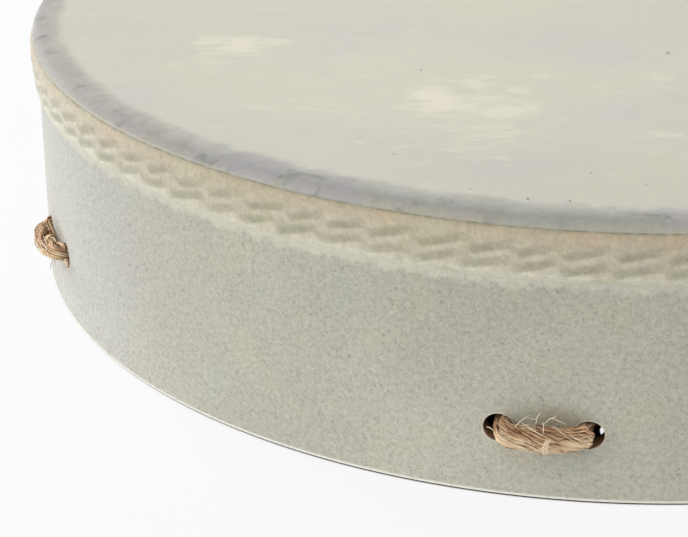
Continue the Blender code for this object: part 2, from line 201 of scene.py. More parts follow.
# Tone of the shoulder by distance inward from its outer edge: the film's own grey, with painted shade across its bend,
# darkest about 3 mm in
SHOULDER_TONES = (
    (0.0000, (168, 165, 151)),
    (0.0010, (164, 162, 152)),
    (0.0028, (158, 157, 150)),
    (0.0050, (172, 170, 164)),
    (0.0070, (183, 181, 172)),
    (0.0090, (192, 190, 180)),
    (0.0110, (203, 201, 189)),
    (0.0135, (212, 210, 196)),
)
# Tone of the collar by depth below the seam
COLLAR_TONES = (
    (0.0000, (162, 156, 133)),
    (0.0009, (174, 164, 141)),
    (0.0018, (180, 170, 147)),
    (0.0050, (186, 178, 156)),
    (0.0075, (181, 175, 155)),
    (0.0100, (181, 176, 156)),
    (0.0128, (189, 185, 165)),
    (0.0143, (202, 199, 180)),
    (0.0160, (206, 203, 185)),
    (0.0170, (203, 200, 183)),
)

# Fineness
ROUND_STEPS = 304
HOLE_SIDES = 48

# Camera and light
IMAGE_WIDTH = 688
FOCAL_PIXELS = 1994
SENSOR_WIDTH = 36.0
VIEW_TURN = math.radians(-48.9)
VIEW_TILT = math.radians(24.34)
CAMERA_PLACE = Vector((-0.0937, -0.6972, 0.2985))


# Camera, floor and light
def make_camera():
    camera = bpy.data.objects.new("camera", bpy.data.cameras.new("camera"))
    bpy.context.scene.collection.objects.link(camera)
    camera.data.sensor_width = SENSOR_WIDTH
    camera.data.lens = FOCAL_PIXELS / IMAGE_WIDTH * SENSOR_WIDTH
    turn = Matrix.Rotation(VIEW_TURN, 4, "Z")
    tilt = Matrix.Rotation(math.pi / 2 - VIEW_TILT, 4, "X")
    camera.matrix_world = turn @ Matrix.Translation(CAMERA_PLACE) @ tilt
    camera.data.clip_start = 0.05
    camera.data.clip_end = 50.0
    bpy.context.scene.camera = camera


def make_lamp(name, place, size, power, tint=(1.0, 1.0, 1.0)):
    """A square soft light aimed at the drum. Its place is given in the photographer's own directions."""
    lamp = bpy.data.objects.new(name, bpy.data.lights.new(name, "AREA"))
    bpy.context.scene.collection.objects.link(lamp)
    lamp.data.shape = "SQUARE"
    lamp.data.size = size
    lamp.data.energy = power
    lamp.data.color = tint
    spot = Matrix.Rotation(VIEW_TURN, 3, "Z") @ Vector(place)
    aim = spot - Vector((0.0, 0.0, DRUM_DEPTH / 2))
    lamp.location = spot
    lamp.rotation_euler = aim.to_track_quat("Z", "Y").to_euler()


def make_studio():
    world = bpy.data.worlds.new("studio")
    bpy.context.scene.world = world
    world.use_nodes = True
    light = world.node_tree.nodes["Background"]
    light.inputs["Color"].default_value = (1.0, 1.0, 1.0, 1.0)
    light.inputs["Strength"].default_value = 0.40
    make_lamp("key", (-1.92, -0.98, 0.85), 1.0, 21.0)
    make_lamp("rim", (-1.53, 1.53, 0.80), 1.0, 32.0, (0.94, 0.98, 1.0))
    make_lamp("top", (-0.3, -0.9, 1.9), 1.2, 12.0)
    bpy.context.scene.view_settings.view_transform = "Standard"

    finish = Finish("floor_paper")
    grain = finish.noise(finish.place(), 9.0, 4.0)
    paper = finish.mix(grain, shade(66, 66, 66), shade(72, 72, 72))
    flat = finish.mapped(finish.place(), (1.0, 1.0, 0.0))
    radius = finish.add("ShaderNodeVectorMath", {0: flat}, "Value", operation="LENGTH")
    # The floor glows only outside the drum's foot. Inside, and in a ring just under the covering's lower edge, it stays
    # dark: painted shade, seen as a thin painted shadow line under the edge
    outside = finish.rise(radius, COVERING_RADIUS - 0.0016, COVERING_RADIUS - 0.0006)
    # Painted highlight: a glowing spot of floor seen through a rope hole
    glint = finish.marks(finish.mapped(flat, (1.0, 1.0, 0.0), -VIEW_TURN), FLOOR_GLINT, 0.7)
    glow = finish.maths("MULTIPLY", finish.maths("MAXIMUM", outside, glint), 0.868)
    finish.close(paper, 0.9, Emission_Color=(1.0, 0.995, 1.0, 1.0), Emission_Strength=glow)
    bm = bmesh.new()
    bmesh.ops.create_grid(bm, x_segments=1, y_segments=1, size=8.0)
    mesh = bpy.data.meshes.new("floor")
    bm.to_mesh(mesh)
    bm.free()
    floor = bpy.data.objects.new("floor", mesh)
    floor.location.z = -0.0002
    bpy.context.scene.collection.objects.link(floor)
    mesh.materials.append(finish.material)


# Materials
def shade(red, green, blue):
    """A colour from screen values, 0 to 255, as a linear colour."""
    linear = []
    for value in (red, green, blue):
        share = value / 255
        linear.append(share / 12.92 if share <= 0.04045 else ((share + 0.055) / 1.055) ** 2.4)
    return (*linear, 1.0)


class Finish:
    """A material built node by node. Each method adds one node and gives its output."""

    def __init__(self, name):
        self.material = bpy.data.materials.new(name)
        self.material.use_nodes = True
        self.nodes = self.material.node_tree.nodes
        self.links = self.material.node_tree.links
        self.shader = self.nodes["Principled BSDF"]

    def put(self, socket, value):
        if isinstance(value, bpy.types.NodeSocket):
            self.links.new(value, socket)
        else:
            socket.default_value = value

    def add(self, kind, inputs, output=0, **settings):
        node = self.nodes.new(kind)
        for key, value in settings.items():
            setattr(node, key, value)
        for key, value in inputs.items():
            self.put(node.inputs[key], value)
        return node.outputs[output]

    def place(self):
        return self.add("ShaderNodeTexCoord", {}, "Object")

    def sheet(self):
        return self.add("ShaderNodeUVMap", {}, "UV", uv_map="sheet")

    def value(self, name):
        return self.add("ShaderNodeAttribute", {}, "Fac", attribute_name=name)

    def parts(self, vector):
        self.add("ShaderNodeSeparateXYZ", {"Vector": vector})
        node = self.nodes[-1]
        return node.outputs["X"], node.outputs["Y"], node.outputs["Z"]

    def mapped(self, vector, scale, turn=0.0, shift=(0.0, 0.0, 0.0)):
        inputs = {"Vector": vector, "Location": shift, "Rotation": (0.0, 0.0, turn), "Scale": scale}
        return self.add("ShaderNodeMapping", inputs)

    def noise(self, vector, scale, detail=3.0, roughness=0.5, distortion=0.0, output="Fac"):
        inputs = {
            "Vector": vector,
            "Scale": scale,
            "Detail": detail,
            "Roughness": roughness,
            "Distortion": distortion,
        }
        return self.add("ShaderNodeTexNoise", inputs, output)

    def pushed(self, vector, scale, reach):
        """The vector, pushed about by noise."""
        push = self.noise(vector, scale, 5.0, 0.6, output="Color")
        push = self.add("ShaderNodeVectorMath", {0: push, 1: (0.5, 0.5, 0.5)}, operation="SUBTRACT")
        return self.add("ShaderNodeVectorMath", {0: push, 1: reach, 2: vector}, operation="MULTIPLY_ADD")

    def cells(self, vector, scale, output="Distance"):
        return self.add("ShaderNodeTexVoronoi", {"Vector": vector, "Scale": scale}, output)

    def maths(self, operation, first, second=0.0):
        return self.add("ShaderNodeMath", {0: first, 1: second}, operation=operation)

    def rise(self, value, low, high, start=0.0, end=1.0):
        """A soft step from start to end as the value goes from low to high."""
        inputs = {"Value": value, "From Min": low, "From Max": high, "To Min": start, "To Max": end}
        return self.add("ShaderNodeMapRange", inputs, interpolation_type="SMOOTHSTEP")

    def mix(self, share, first, second, blend="MIX"):
        return self.add(
            "ShaderNodeMix", {0: share, 6: first, 7: second}, 2, data_type="RGBA", blend_type=blend
        )

    def ramp(self, value, tones):
        """A colour that goes through the tones, each given with its value."""
        last = tones[-1][0]
        colour = self.add("ShaderNodeValToRGB", {"Fac": self.maths("DIVIDE", value, last)}, "Color")
        stops = colour.node.color_ramp.elements
        while len(stops) < len(tones):
            stops.new(1.0)
        for stop, (reach, tone) in zip(stops, tones):
            stop.position = reach / last
            stop.color = shade(*tone)
        return colour

    def marks(self, vector, places, inner):
        """Soft ovals at the places: the strength inside, 0 outside."""
        total = 0.0
        for x, y, wide, deep, strength in places:
            shift = (-x / wide, -y / deep, 0.0)
            near = self.mapped(vector, (1 / wide, 1 / deep, 0.0), shift=shift)
            reach = self.add("ShaderNodeVectorMath", {0: near}, "Value", operation="LENGTH")
            total = self.maths("MAXIMUM", total, self.rise(reach, inner, 1.0, strength, 0.0))
        return total

    def bump(self, height, distance, normal=None):
        inputs = {"Height": height, "Distance": distance, "Strength": 1.0}
        if normal is not None:
            inputs["Normal"] = normal
        return self.add("ShaderNodeBump", inputs)

    def close(self, colour, roughness, normal=None, **others):
        """Set the shader's inputs and give the material."""
        inputs = {"Base Color": colour, "Roughness": roughness}
        if normal is not None:
            inputs["Normal"] = normal
        inputs.update({key.replace("_", " "): value for key, value in others.items()})
        for key, value in inputs.items():
            self.put(self.shader.inputs[key], value)
        return self.material


def skin_film():
    """Cream film mottled like hide, with a grey shoulder that carries painted shade of its bend, a painted highlight as
    a pale strip at the seam on the left, and a few specks.
    """
    finish = Finish("skin_film")
    place = finish.place()
    _, _, z = finish.parts(place)
    flat = finish.mapped(place, (1.0, 1.0, 0.0))
    seen = finish.mapped(flat, (1.0, 1.0, 0.0), -VIEW_TURN)
    radius = finish.add("ShaderNodeVectorMath", {0: flat}, "Value", operation="LENGTH")

    drifts = finish.noise(finish.mapped(seen, (1.0, 1.2, 1.0), shift=(0.7, 0.2, 0)), 16.0, 5.0, 0.6, 0.3)
    streaks = finish.noise(finish.mapped(seen, (1.0, 3.0, 1.0)), 95.0, 4.0, 0.6, 0.4)
    wisps = finish.noise(finish.mapped(seen, (1.0, 1.6, 1.0)), 38.0, 6.0, 0.64, 0.6)
    torn = finish.pushed(finish.pushed(seen, 42.0, (0.014, 0.016, 0.0)), 120.0, (0.007, 0.006, 0.0))
    colour = finish.mix(finish.rise(drifts, 0.40, 0.60), shade(215, 212, 197), shade(218, 214, 198))
    cool = finish.maths("ADD", finish.marks(torn, GREY_PATCHES, 0.0), finish.rise(drifts, 0.42, 0.32, 0.0, 0.5))
    colour = finish.mix(finish.maths("MULTIPLY", cool, 0.65), colour, shade(208, 206, 203))
    reach = finish.maths("ADD", finish.maths("MULTIPLY", streaks, 1.5), finish.maths("MULTIPLY", wisps, 1.2))
    reach = finish.maths("ADD", finish.marks(torn, CREAM_PATCHES, 0.1), finish.maths("SUBTRACT", reach, 1.41))
    colour = finish.mix(finish.rise(reach, 0.12, 0.50, 0.0, 0.9), colour, shade(224, 221, 202))
    core = finish.rise(reach, 0.40, 0.90)
    colour = finish.mix(core, colour, shade(235, 228, 209))
    fine = finish.rise(finish.noise(seen, 190.0, 5.0, 0.6, 0.5), 0.35, 0.75, 0.985, 1.012)
    colour = finish.mix(1.0, colour, fine, "MULTIPLY")
    lines = finish.rise(streaks, 0.60, 0.74, 0.0, 0.35)
    colour = finish.mix(lines, colour, shade(226, 224, 207))
    dull = finish.rise(streaks, 0.40, 0.28, 0.0, 0.35)
    colour = finish.mix(dull, colour, shade(204, 203, 192))
    across, away, _ = finish.parts(seen)
    colour = finish.mix(1.0, colour, finish.rise(away, -0.196, -0.120, 0.945, 1.0), "MULTIPLY")
    colour = finish.mix(1.0, colour, finish.rise(away, -0.200, -0.040, 0.990, 1.038), "MULTIPLY")
    colour = finish.mix(1.0, colour, finish.rise(across, -0.190, -0.080, 0.930, 1.0), "MULTIPLY")

    blotch = finish.noise(place, 90.0, 4.0, 0.6, 0.2)
    wander = finish.maths("MULTIPLY", finish.maths("SUBTRACT", blotch, 0.5), 0.005)
    inward = finish.maths("ADD", finish.maths("SUBTRACT", HEAD_RADIUS, radius), wander)
    inward = finish.maths("ADD", inward, finish.rise(across, -0.185, -0.100, 0.0016, 0.0))
    # The shoulder's grey, with painted shade across its bend
    grey = finish.ramp(inward, SHOULDER_TONES)
    tint = finish.noise(place, 42.0, 3.0, 0.55)
    grey = finish.mix(finish.rise(tint, 0.48, 0.62, 0.0, 0.42), grey, shade(165, 160, 167))
    grey = finish.mix(finish.rise(tint, 0.46, 0.36, 0.0, 0.26), grey, shade(159, 162, 150))
    spots = finish.rise(finish.noise(place, 140.0, 3.0, 0.6), 0.50, 0.70)
    spots = finish.maths("MULTIPLY", spots, finish.rise(tint, 0.44, 0.56, 0.30, 0.85))
    spots = finish.maths("MULTIPLY", spots, finish.rise(inward, 0.0055, 0.0090, 1.0, 0.0))
    grey = finish.mix(spots, grey, shade(130, 131, 126))
    mottle = finish.rise(finish.noise(place, 480.0, 4.0, 0.6), 0.3, 0.7, 0.95, 1.04)
    grey = finish.mix(1.0, grey, mottle, "MULTIPLY")
    # Painted light and shade: the shoulder's grey lighter towards the right, and darker and warmer towards the left
    grey = finish.mix(1.0, grey, finish.rise(across, -0.030, 0.010, 1.0, 1.13), "MULTIPLY")
    shaded_grey = finish.mix(1.0, grey, (0.96, 0.92, 0.92, 1.0), "MULTIPLY")
    grey = finish.mix(finish.rise(across, -0.120, -0.170), grey, shaded_grey)
    colour = finish.mix(finish.rise(inward, 0.0100, 0.0140, 1.0, 0.0), colour, grey)
    # Painted highlight: a pale strip just above the seam, on the left only, where the light falls
    on_left = finish.rise(across, -0.175, -0.090, 1.0, 0.0)
    strip = finish.rise(z, SEAM_LEVEL + 0.0004, SEAM_LEVEL + 0.0012, 0.7, 0.0)
    colour = finish.mix(finish.maths("MULTIPLY", strip, on_left), colour, shade(188, 186, 173))
    line = finish.rise(z, SEAM_LEVEL - 0.0001, SEAM_LEVEL + 0.0005, 1.0, 0.0)
    line = finish.maths("MULTIPLY", line, finish.rise(finish.noise(place, 260.0, 3.0, 0.6), 0.42, 0.62, 0.35, 0.95))
    colour = finish.mix(line, colour, shade(134, 129, 106))

    specks = finish.marks(seen, HEAD_SPECKS, 0.4)
    colour = finish.mix(specks, colour, shade(84, 82, 72))

    grain = finish.bump(finish.noise(flat, 420.0, 4.0, 0.6), 0.00004)
    folds = finish.bump(blotch, 0.0001, grain)
    rough = finish.rise(core, 0.0, 1.0, 0.50, 0.42)
    gloss = finish.rise(inward, 0.0030, 0.0110, 0.06, 0.33)
    return finish.close(colour, rough, folds, Specular_IOR_Level=gloss)


def fibre_flecks(finish, sheet, seed, angles, low, high):
    """Short fibres that lie in several directions: 0 between them, 1 on one."""
    total = 0.0
    for index, angle in enumerate(angles):
        shift = (seed + 1.7 * index, 2.3 * index, 0.0)
        turned = finish.mapped(sheet, (1.0, 1.0, 1.0), math.radians(angle))
        lying = finish.mapped(turned, (330.0, 1500.0, 1.0), 0.0, shift)
        fleck = finish.rise(finish.noise(lying, 1.0, 2.0, 0.5, 0.5), low, high)
        total = finish.maths("MAXIMUM", total, fleck)
    return total


def station_places():
    """The middle of each rope station on the covering's sheet."""
    return [(angle % math.tau * COVERING_RADIUS, STATION_HEIGHT) for angle in STATION_ANGLES.values()]


def speckled_fibre():
    """Pale grey-green felted sheet: broad cloudiness, light and dark fibres, and a pale upper and lower edge."""
    finish = Finish("speckled_fibre")
    sheet = finish.sheet()
    _, height, _ = finish.parts(sheet)
    across, _, _ = finish.parts(finish.mapped(finish.place(), (1.0, 1.0, 1.0), -VIEW_TURN))
    clouds = finish.noise(sheet, 16.0, 4.0, 0.55)
    colour = finish.mix(finish.rise(clouds, 0.35, 0.65), shade(172, 170, 156), shade(180, 178, 163))
    green = finish.noise(sheet, 42.0, 4.0, 0.6)
    colour = finish.mix(finish.rise(green, 0.54, 0.70, 0.0, 0.42), colour, shade(170, 175, 162))
    colour = finish.mix(finish.rise(green, 0.46, 0.34, 0.0, 0.5), colour, shade(183, 177, 158))
    # Painted sheen: the sheet greyer and paler towards the left, where it is seen at a grazing angle
    colour = finish.mix(finish.rise(across, -0.200, -0.120, 0.75, 0.0), colour, shade(183, 182, 175))
    # Painted light: the sheet a little lighter low down and darker under the collar, as light from the floor
    lit = finish.rise(height, 0.004, COLLAR_LOW.z, 1.06, 0.965)
    colour = finish.mix(1.0, colour, lit, "MULTIPLY")
    felt = finish.noise(sheet, 680.0, 3.0, 0.65, 0.3)
    colour = finish.mix(1.0, colour, finish.rise(felt, 0.28, 0.72, 0.87, 1.125), "MULTIPLY")
    light = fibre_flecks(finish, sheet, 3.0, (25, 68, 112, 155), 0.60, 0.76)
    colour = finish.mix(finish.maths("MULTIPLY", light, 0.42), colour, shade(214, 212, 200))
    dark = fibre_flecks(finish, sheet, 11.0, (5, 48, 90, 134), 0.61, 0.77)
    colour = finish.mix(finish.maths("MULTIPLY", dark, 0.38), colour, shade(140, 140, 126))
    pits = finish.rise(finish.cells(sheet, 420.0), 0.10, 0.24, 1.0, 0.0)
    kept = finish.rise(finish.noise(sheet, 120.0, 2.0), 0.48, 0.58)
    pits = finish.maths("MULTIPLY", pits, finish.maths("MULTIPLY", kept, 0.45))
    colour = finish.mix(pits, colour, shade(122, 122, 110))
    torn = finish.noise(sheet, 260.0, 4.0, 0.6)
    feather = finish.maths("ADD", height, finish.rise(torn, 0.3, 0.7, -0.0012, 0.0012))
    pale = finish.rise(feather, COLLAR_LOW.z - 0.0032, COLLAR_LOW.z - 0.0002, 0.0, 0.95)
    colour = finish.mix(pale, colour, shade(201, 198, 182))
    # Paler along the sheet's lowest edge
    pale_lip = finish.rise(height, 0.0013, 0.0020, 0.95, 0.0)
    colour = finish.mix(pale_lip, colour, shade(232, 229, 216))
    # Painted shadow: a soft darker patch on the sheet just above each rope stitch
    rope_shadows = [(x + 0.0030, y + 0.0045, 0.0145, 0.0062, 0.75) for x, y in station_places()]
    painted_shade = finish.mix(1.0, colour, shade(206, 200, 184), "MULTIPLY")
    colour = finish.mix(finish.marks(sheet, rope_shadows, 0.0), colour, painted_shade)
    rims = [(x + side * HOLE_SPACING / 2, y, CUT_EDGE, CUT_EDGE, 0.7) for x, y in station_places() for side in (-1, 1)]
    colour = finish.mix(finish.marks(sheet, rims, 0.92), colour, shade(206, 202, 184))
    relief = finish.maths("ADD", felt, finish.maths("SUBTRACT", light, dark))
    return finish.close(
        colour,
        0.8,
        finish.bump(relief, 0.00010),
        Specular_IOR_Level=0.3,
        Sheen_Weight=0.30,
        Sheen_Roughness=0.5,
    )


def pressed_band():
    """Tan pressed fibre with peach tints near the seam, paler down to its feathered lower edge."""
    finish = Finish("pressed_band")
    place = finish.place()
    depth = finish.value("depth")
    hollow_shade = finish.value("hollow_shade")
    ledge_highlight = finish.value("ledge_highlight")
    ragged = finish.noise(place, 130.0, 4.0, 0.6)
    wander = finish.maths("MULTIPLY", finish.maths("SUBTRACT", ragged, 0.5), 0.0024)
    near_seam = finish.rise(depth, 0.0004, 0.0030, 0.12, 1.0)
    reach = finish.maths("ADD", depth, finish.maths("MULTIPLY", wander, near_seam))
    colour = finish.ramp(reach, COLLAR_TONES)
    near_top = finish.rise(depth, 0.0012, 0.0060, 1.0, 0.08)
    blush = finish.rise(finish.noise(place, 52.0, 4.0, 0.55, 0.5), 0.50, 0.66)
    across, _, _ = finish.parts(finish.mapped(place, (1.0, 1.0, 1.0), -VIEW_TURN))
    blush = finish.maths("MULTIPLY", blush, finish.rise(across, -0.190, -0.080, 0.35, 1.0))
    blush = finish.maths("MULTIPLY", blush, near_top)
    colour = finish.mix(finish.maths("MULTIPLY", blush, 0.60), colour, shade(190, 164, 136))
    olive = finish.rise(finish.noise(finish.mapped(place, (1, 1, 1), shift=(3, 1, 2)), 66.0, 4.0, 0.6), 0.48, 0.64)
    colour = finish.mix(finish.maths("MULTIPLY", olive, 0.6), colour, shade(178, 174, 148))
    # Painted highlight on the ledge under each row of hollows
    colour = finish.mix(finish.maths("MULTIPLY", ledge_highlight, 0.35), colour, shade(200, 196, 175))
    # Painted shade in the hollows, its strength broken up by noise
    painted_shade = finish.mix(1.0, colour, shade(223, 225, 219), "MULTIPLY")
    shade_break_up = finish.rise(finish.noise(place, 210.0, 3.0, 0.6), 0.35, 0.60, 0.65, 1.0)
    colour = finish.mix(finish.maths("MULTIPLY", hollow_shade, shade_break_up), colour, painted_shade)
    mottle = finish.rise(finish.noise(place, 300.0, 3.0, 0.6), 0.3, 0.7, 0.95, 1.05)
    colour = finish.mix(1.0, colour, mottle, "MULTIPLY")
    felt = finish.noise(place, 800.0, 3.0, 0.65)
    colour = finish.mix(1.0, colour, finish.rise(felt, 0.25, 0.75, 0.90, 1.10), "MULTIPLY")
    # Painted sheen: paler and cooler towards the left
    left_sheen = finish.mix(1.0, colour, (1.05, 1.05, 1.09, 1.0), "MULTIPLY")
    colour = finish.mix(finish.rise(across, -0.120, -0.185), colour, left_sheen)
    line = finish.rise(depth, 0.0002, 0.0008, 1.0, 0.0)
    line = finish.maths("MULTIPLY", line, finish.rise(ragged, 0.40, 0.60, 0.1, 0.5))
    colour = finish.mix(line, colour, shade(138, 133, 108))
    return finish.close(
        colour, 0.8, finish.bump(felt, 0.00010), Specular_IOR_Level=0.2, Sheen_Weight=0.2, Sheen_Roughness=0.5
    )


def fibre_core():
    """Dark brown fibre board, in thin layers, a little shiny."""
    finish = Finish("fibre_core")
    place = finish.place()
    layers = finish.noise(finish.mapped(place, (60.0, 60.0, 1400.0)), 1.0, 4.0, 0.6)
    colour = finish.mix(finish.rise(layers, 0.35, 0.70), shade(138, 106, 78), shade(170, 136, 102))
    chips = finish.noise(place, 700.0, 4.0, 0.7)
    colour = finish.mix(finish.rise(chips, 0.60, 0.78, 0.0, 0.5), colour, shade(188, 158, 122))
    rough = finish.rise(chips, 0.3, 0.7, 0.34, 0.60)
    return finish.close(colour, rough, finish.bump(chips, 0.00012), Specular_IOR_Level=0.5)


def straw_fibre(name, light, middle, dark, deep):
    """Twisted plant fibre: yarns of several tones, fine lengthwise fibres, and grooves painted dark brown as shade;
    outside the wall, painted light on the lower half and painted shade on the upper half of the front rope.
    """
    finish = Finish(name)
    sheet = finish.sheet()
    crown = finish.value("crown")
    yarn = finish.value("tone")
    fibres = finish.noise(finish.mapped(sheet, (110.0, 3200.0, 1.0)), 1.0, 4.0, 0.65, 0.3)
    hairs = finish.noise(finish.mapped(sheet, (170.0, 6000.0, 1.0), shift=(4.0, 9.0, 0.0)), 1.0, 2.0, 0.5, 0.2)
    tone = finish.noise(finish.mapped(sheet, (90.0, 420.0, 1.0), shift=(8.0, 3.0, 0.0)), 1.0, 2.0)
    tone = finish.maths("ADD", finish.maths("MULTIPLY", tone, 0.5), finish.maths("MULTIPLY", yarn, 0.5))
    colour = finish.mix(finish.rise(tone, 0.36, 0.62), middle, light)
    colour = finish.mix(finish.rise(tone, 0.38, 0.20, 0.0, 0.6), colour, dark)
    colour = finish.mix(finish.rise(fibres, 0.52, 0.38, 0.0, 0.9), colour, dark)
    colour = finish.mix(finish.rise(hairs, 0.58, 0.72, 0.0, 0.7), colour, shade(246, 228, 198))
    # Painted shade: dark brown in the grooves, where the surface lies nearer the rope's core
    groove_shade = finish.maths("ADD", crown, finish.maths("MULTIPLY", fibres, 0.14))
    cracks = finish.noise(finish.mapped(sheet, (120.0, 2400.0, 1.0), shift=(1.0, 6.0, 0.0)), 1.0, 2.0, 0.5, 0.3)
    colour = finish.mix(finish.rise(cracks, 0.40, 0.30, 0.0, 0.85), colour, deep)
    colour = finish.mix(finish.rise(groove_shade, 0.66, 0.90, 0.95, 0.0), colour, deep)
    _, _, level = finish.parts(finish.place())
    flat = finish.mapped(finish.place(), (1.0, 1.0, 0.0))
    radius = finish.add("ShaderNodeVectorMath", {0: flat}, "Value", operation="LENGTH")
    # Outside the wall: painted light on the rope's lower half, lighter and paler; its upper half darker on the front
    # rope as painted shade, and lighter on the back one
    shown = finish.rise(radius, COVERING_RADIUS + 0.0010, COVERING_RADIUS + 0.0030)
    below = finish.rise(level, STATION_HEIGHT + 0.0026, STATION_HEIGHT - 0.0004)
    _, depth, _ = finish.parts(finish.place())
    upper = finish.mix(finish.rise(depth, -0.02, 0.02), (0.82, 0.71, 0.64, 1.0), (1.26, 1.24, 1.24, 1.0))
    lower = finish.mix(finish.maths("MULTIPLY", below, 0.58), colour, shade(252, 236, 206))
    painted_light_and_shade = finish.mix(1.0, lower, finish.mix(below, upper, (1.32, 1.30, 1.22, 1.0)), "MULTIPLY")
    colour = finish.mix(shown, colour, painted_light_and_shade)
    relief = finish.maths("ADD", fibres, finish.maths("MULTIPLY", hairs, 0.5))
    return finish.close(colour, 0.75, finish.bump(relief, 0.0003), Specular_IOR_Level=0.25)


def loose_fibre():
    """Single fibres, from brown to cream, a little uneven along their length."""
    finish = Finish("loose_fibre")
    uneven = finish.noise(finish.place(), 240.0, 2.0)
    tone = finish.maths("ADD", finish.value("tone"), finish.rise(uneven, 0.35, 0.65, -0.12, 0.12))
    colour = finish.mix(finish.rise(tone, 0.10, 0.55), shade(150, 104, 70), shade(218, 182, 143))
    colour = finish.mix(finish.rise(tone, 0.55, 0.95), colour, shade(246, 232, 202))
    # Dark brown for the strands laid in the rope's gaps as painted shade
    colour = finish.mix(finish.rise(tone, -0.05, -0.30), colour, shade(98, 60, 36))
    return finish.close(colour, 0.6, None, Specular_IOR_Level=0.3)


# Meshes
class Net:
    """Points, faces and values gathered for one piece."""

    def __init__(self):
        self.points = []
        self.faces = []
        self.sheet = []
        self.values = {}
        self.count = 0

    def add_grid(self, rows, sheet, values, around, caps):
        """Join rows of points. The rows close on themselves when around is true."""
        rows = np.asarray(rows, float)
        lines, across = rows.shape[:2]
        index = np.arange(lines * across).reshape(lines, across) + self.count
        following = np.roll(index, -1, axis=1) if around else index[:, 1:]
        near = index if around else index[:, :-1]
        quads = np.stack([near[:-1], following[:-1], following[1:], near[1:]], axis=-1)
        self.faces.extend(quads.reshape(-1, 4).tolist())
        if caps:
            self.faces.append(index[0][::-1].tolist())
            self.faces.append(index[-1].tolist())
        self.points.append(rows.reshape(-1, 3))
        self.sheet.append(np.asarray(sheet, float).reshape(-1, 2))
        for key, grid in values.items():
            self.values.setdefault(key, []).append(np.asarray(grid, float).reshape(-1))
        self.count += lines * across

    def make(self, name, material):
        mesh = bpy.data.meshes.new(name)
        points = np.concatenate(self.points)
        mesh.from_pydata(points.tolist(), [], self.faces)
        for key, grids in self.values.items():
            attribute = mesh.attributes.new(key, "FLOAT", "POINT")
            attribute.data.foreach_set("value", np.concatenate(grids).astype(np.float32))
        sheet = np.concatenate(self.sheet)
        corners = np.empty(len(mesh.loops), np.int32)
        mesh.loops.foreach_get("vertex_index", corners)
        layer = mesh.uv_layers.new(name="sheet")
        layer.data.foreach_set("uv", sheet[corners].astype(np.float32).reshape(-1))
        mesh.shade_smooth()
        mesh.materials.append(material)
        item = bpy.data.objects.new(name, mesh)
        bpy.context.scene.collection.objects.link(item)
        return item


def stand_for(item, node):
    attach(item, "root")
    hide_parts(node)


def turned_net(profile, steps, start=0.0, end=math.tau):
    """A profile of (radius, height) turned round Z, from one angle to another."""
    closed = end - start > math.tau - 1e-6
    angles = np.linspace(start, end, steps + 1)
    if closed:
        angles = angles[:-1]
    profile = np.asarray(profile, float)
    radius, height = profile[:, 0], profile[:, 1]
    rows = np.stack(
        [
            np.outer(np.cos(angles), radius),
            np.outer(np.sin(angles), radius),
            np.tile(height, (len(angles), 1)),
        ],
        axis=-1,
    )
    if closed:
        rows = np.concatenate([rows, rows[:1]])
        angles = np.append(angles, math.tau)
    sheet = np.stack(
        [np.tile(angles[:, None] * COVERING_RADIUS, (1, len(profile))), np.tile(height, (len(angles), 1))], axis=-1
    )
    return rows, sheet


def weld(item):
    """Join the two ends of a full turn."""
    bm = bmesh.new()
    bm.from_mesh(item.data)
    bmesh.ops.remove_doubles(bm, verts=bm.verts, dist=0.000002)
    bmesh.ops.recalc_face_normals(bm, faces=bm.faces)
    bm.to_mesh(item.data)
    bm.free()


def arc(centre, width, height, start, end, steps):
    angles = np.linspace(math.radians(start), math.radians(end), steps + 1)
    return [(centre[0] + width * math.cos(a), centre[1] + height * math.sin(a)) for a in angles]


def make_head():
    """The film: flat face, rounded shoulder and skirt, with its underside."""
    centre = (HEAD_RADIUS - SHOULDER_WIDTH, SEAM_LEVEL)
    rings = [0.0005, 0.04, 0.08, 0.12, 0.15, 0.17, 0.185]
    skirt = COVERING_RADIUS + JOINT_GAP
    under = SEAM_LEVEL - 0.0008
    profile = [(radius, DRUM_DEPTH) for radius in rings]
    profile += arc(centre, SHOULDER_WIDTH, SHOULDER_DROP, 90, -18, 20)
    profile += [(skirt + HEAD_FILM, under - 0.0006), (skirt + HEAD_FILM, HEAD_LOW.z)]
    profile += [(skirt, HEAD_LOW.z), (skirt, under)]
    profile += arc(centre, SHOULDER_WIDTH - HEAD_FILM, SHOULDER_DROP - HEAD_FILM, 0, 90, 12)
    profile += [(radius, DRUM_DEPTH - HEAD_FILM) for radius in reversed(rings)]
    rows, sheet = turned_net(profile, ROUND_STEPS)
    net = Net()
    net.add_grid(rows, sheet, {}, around=False, caps=False)
    item = net.make("drum_head_film", skin_film())
    bm = bmesh.new()
    bm.from_mesh(item.data)
    bmesh.ops.remove_doubles(bm, verts=bm.verts, dist=0.000002)
    bmesh.ops.holes_fill(bm, edges=[edge for edge in bm.edges if edge.is_boundary], sides=0)
    bmesh.ops.recalc_face_normals(bm, faces=bm.faces)
    bm.to_mesh(item.data)
    bm.free()
    item.data.shade_smooth()
    item.data.set_sharp_from_angle(angle=math.radians(50))
    stand_for(item, "drum_head")


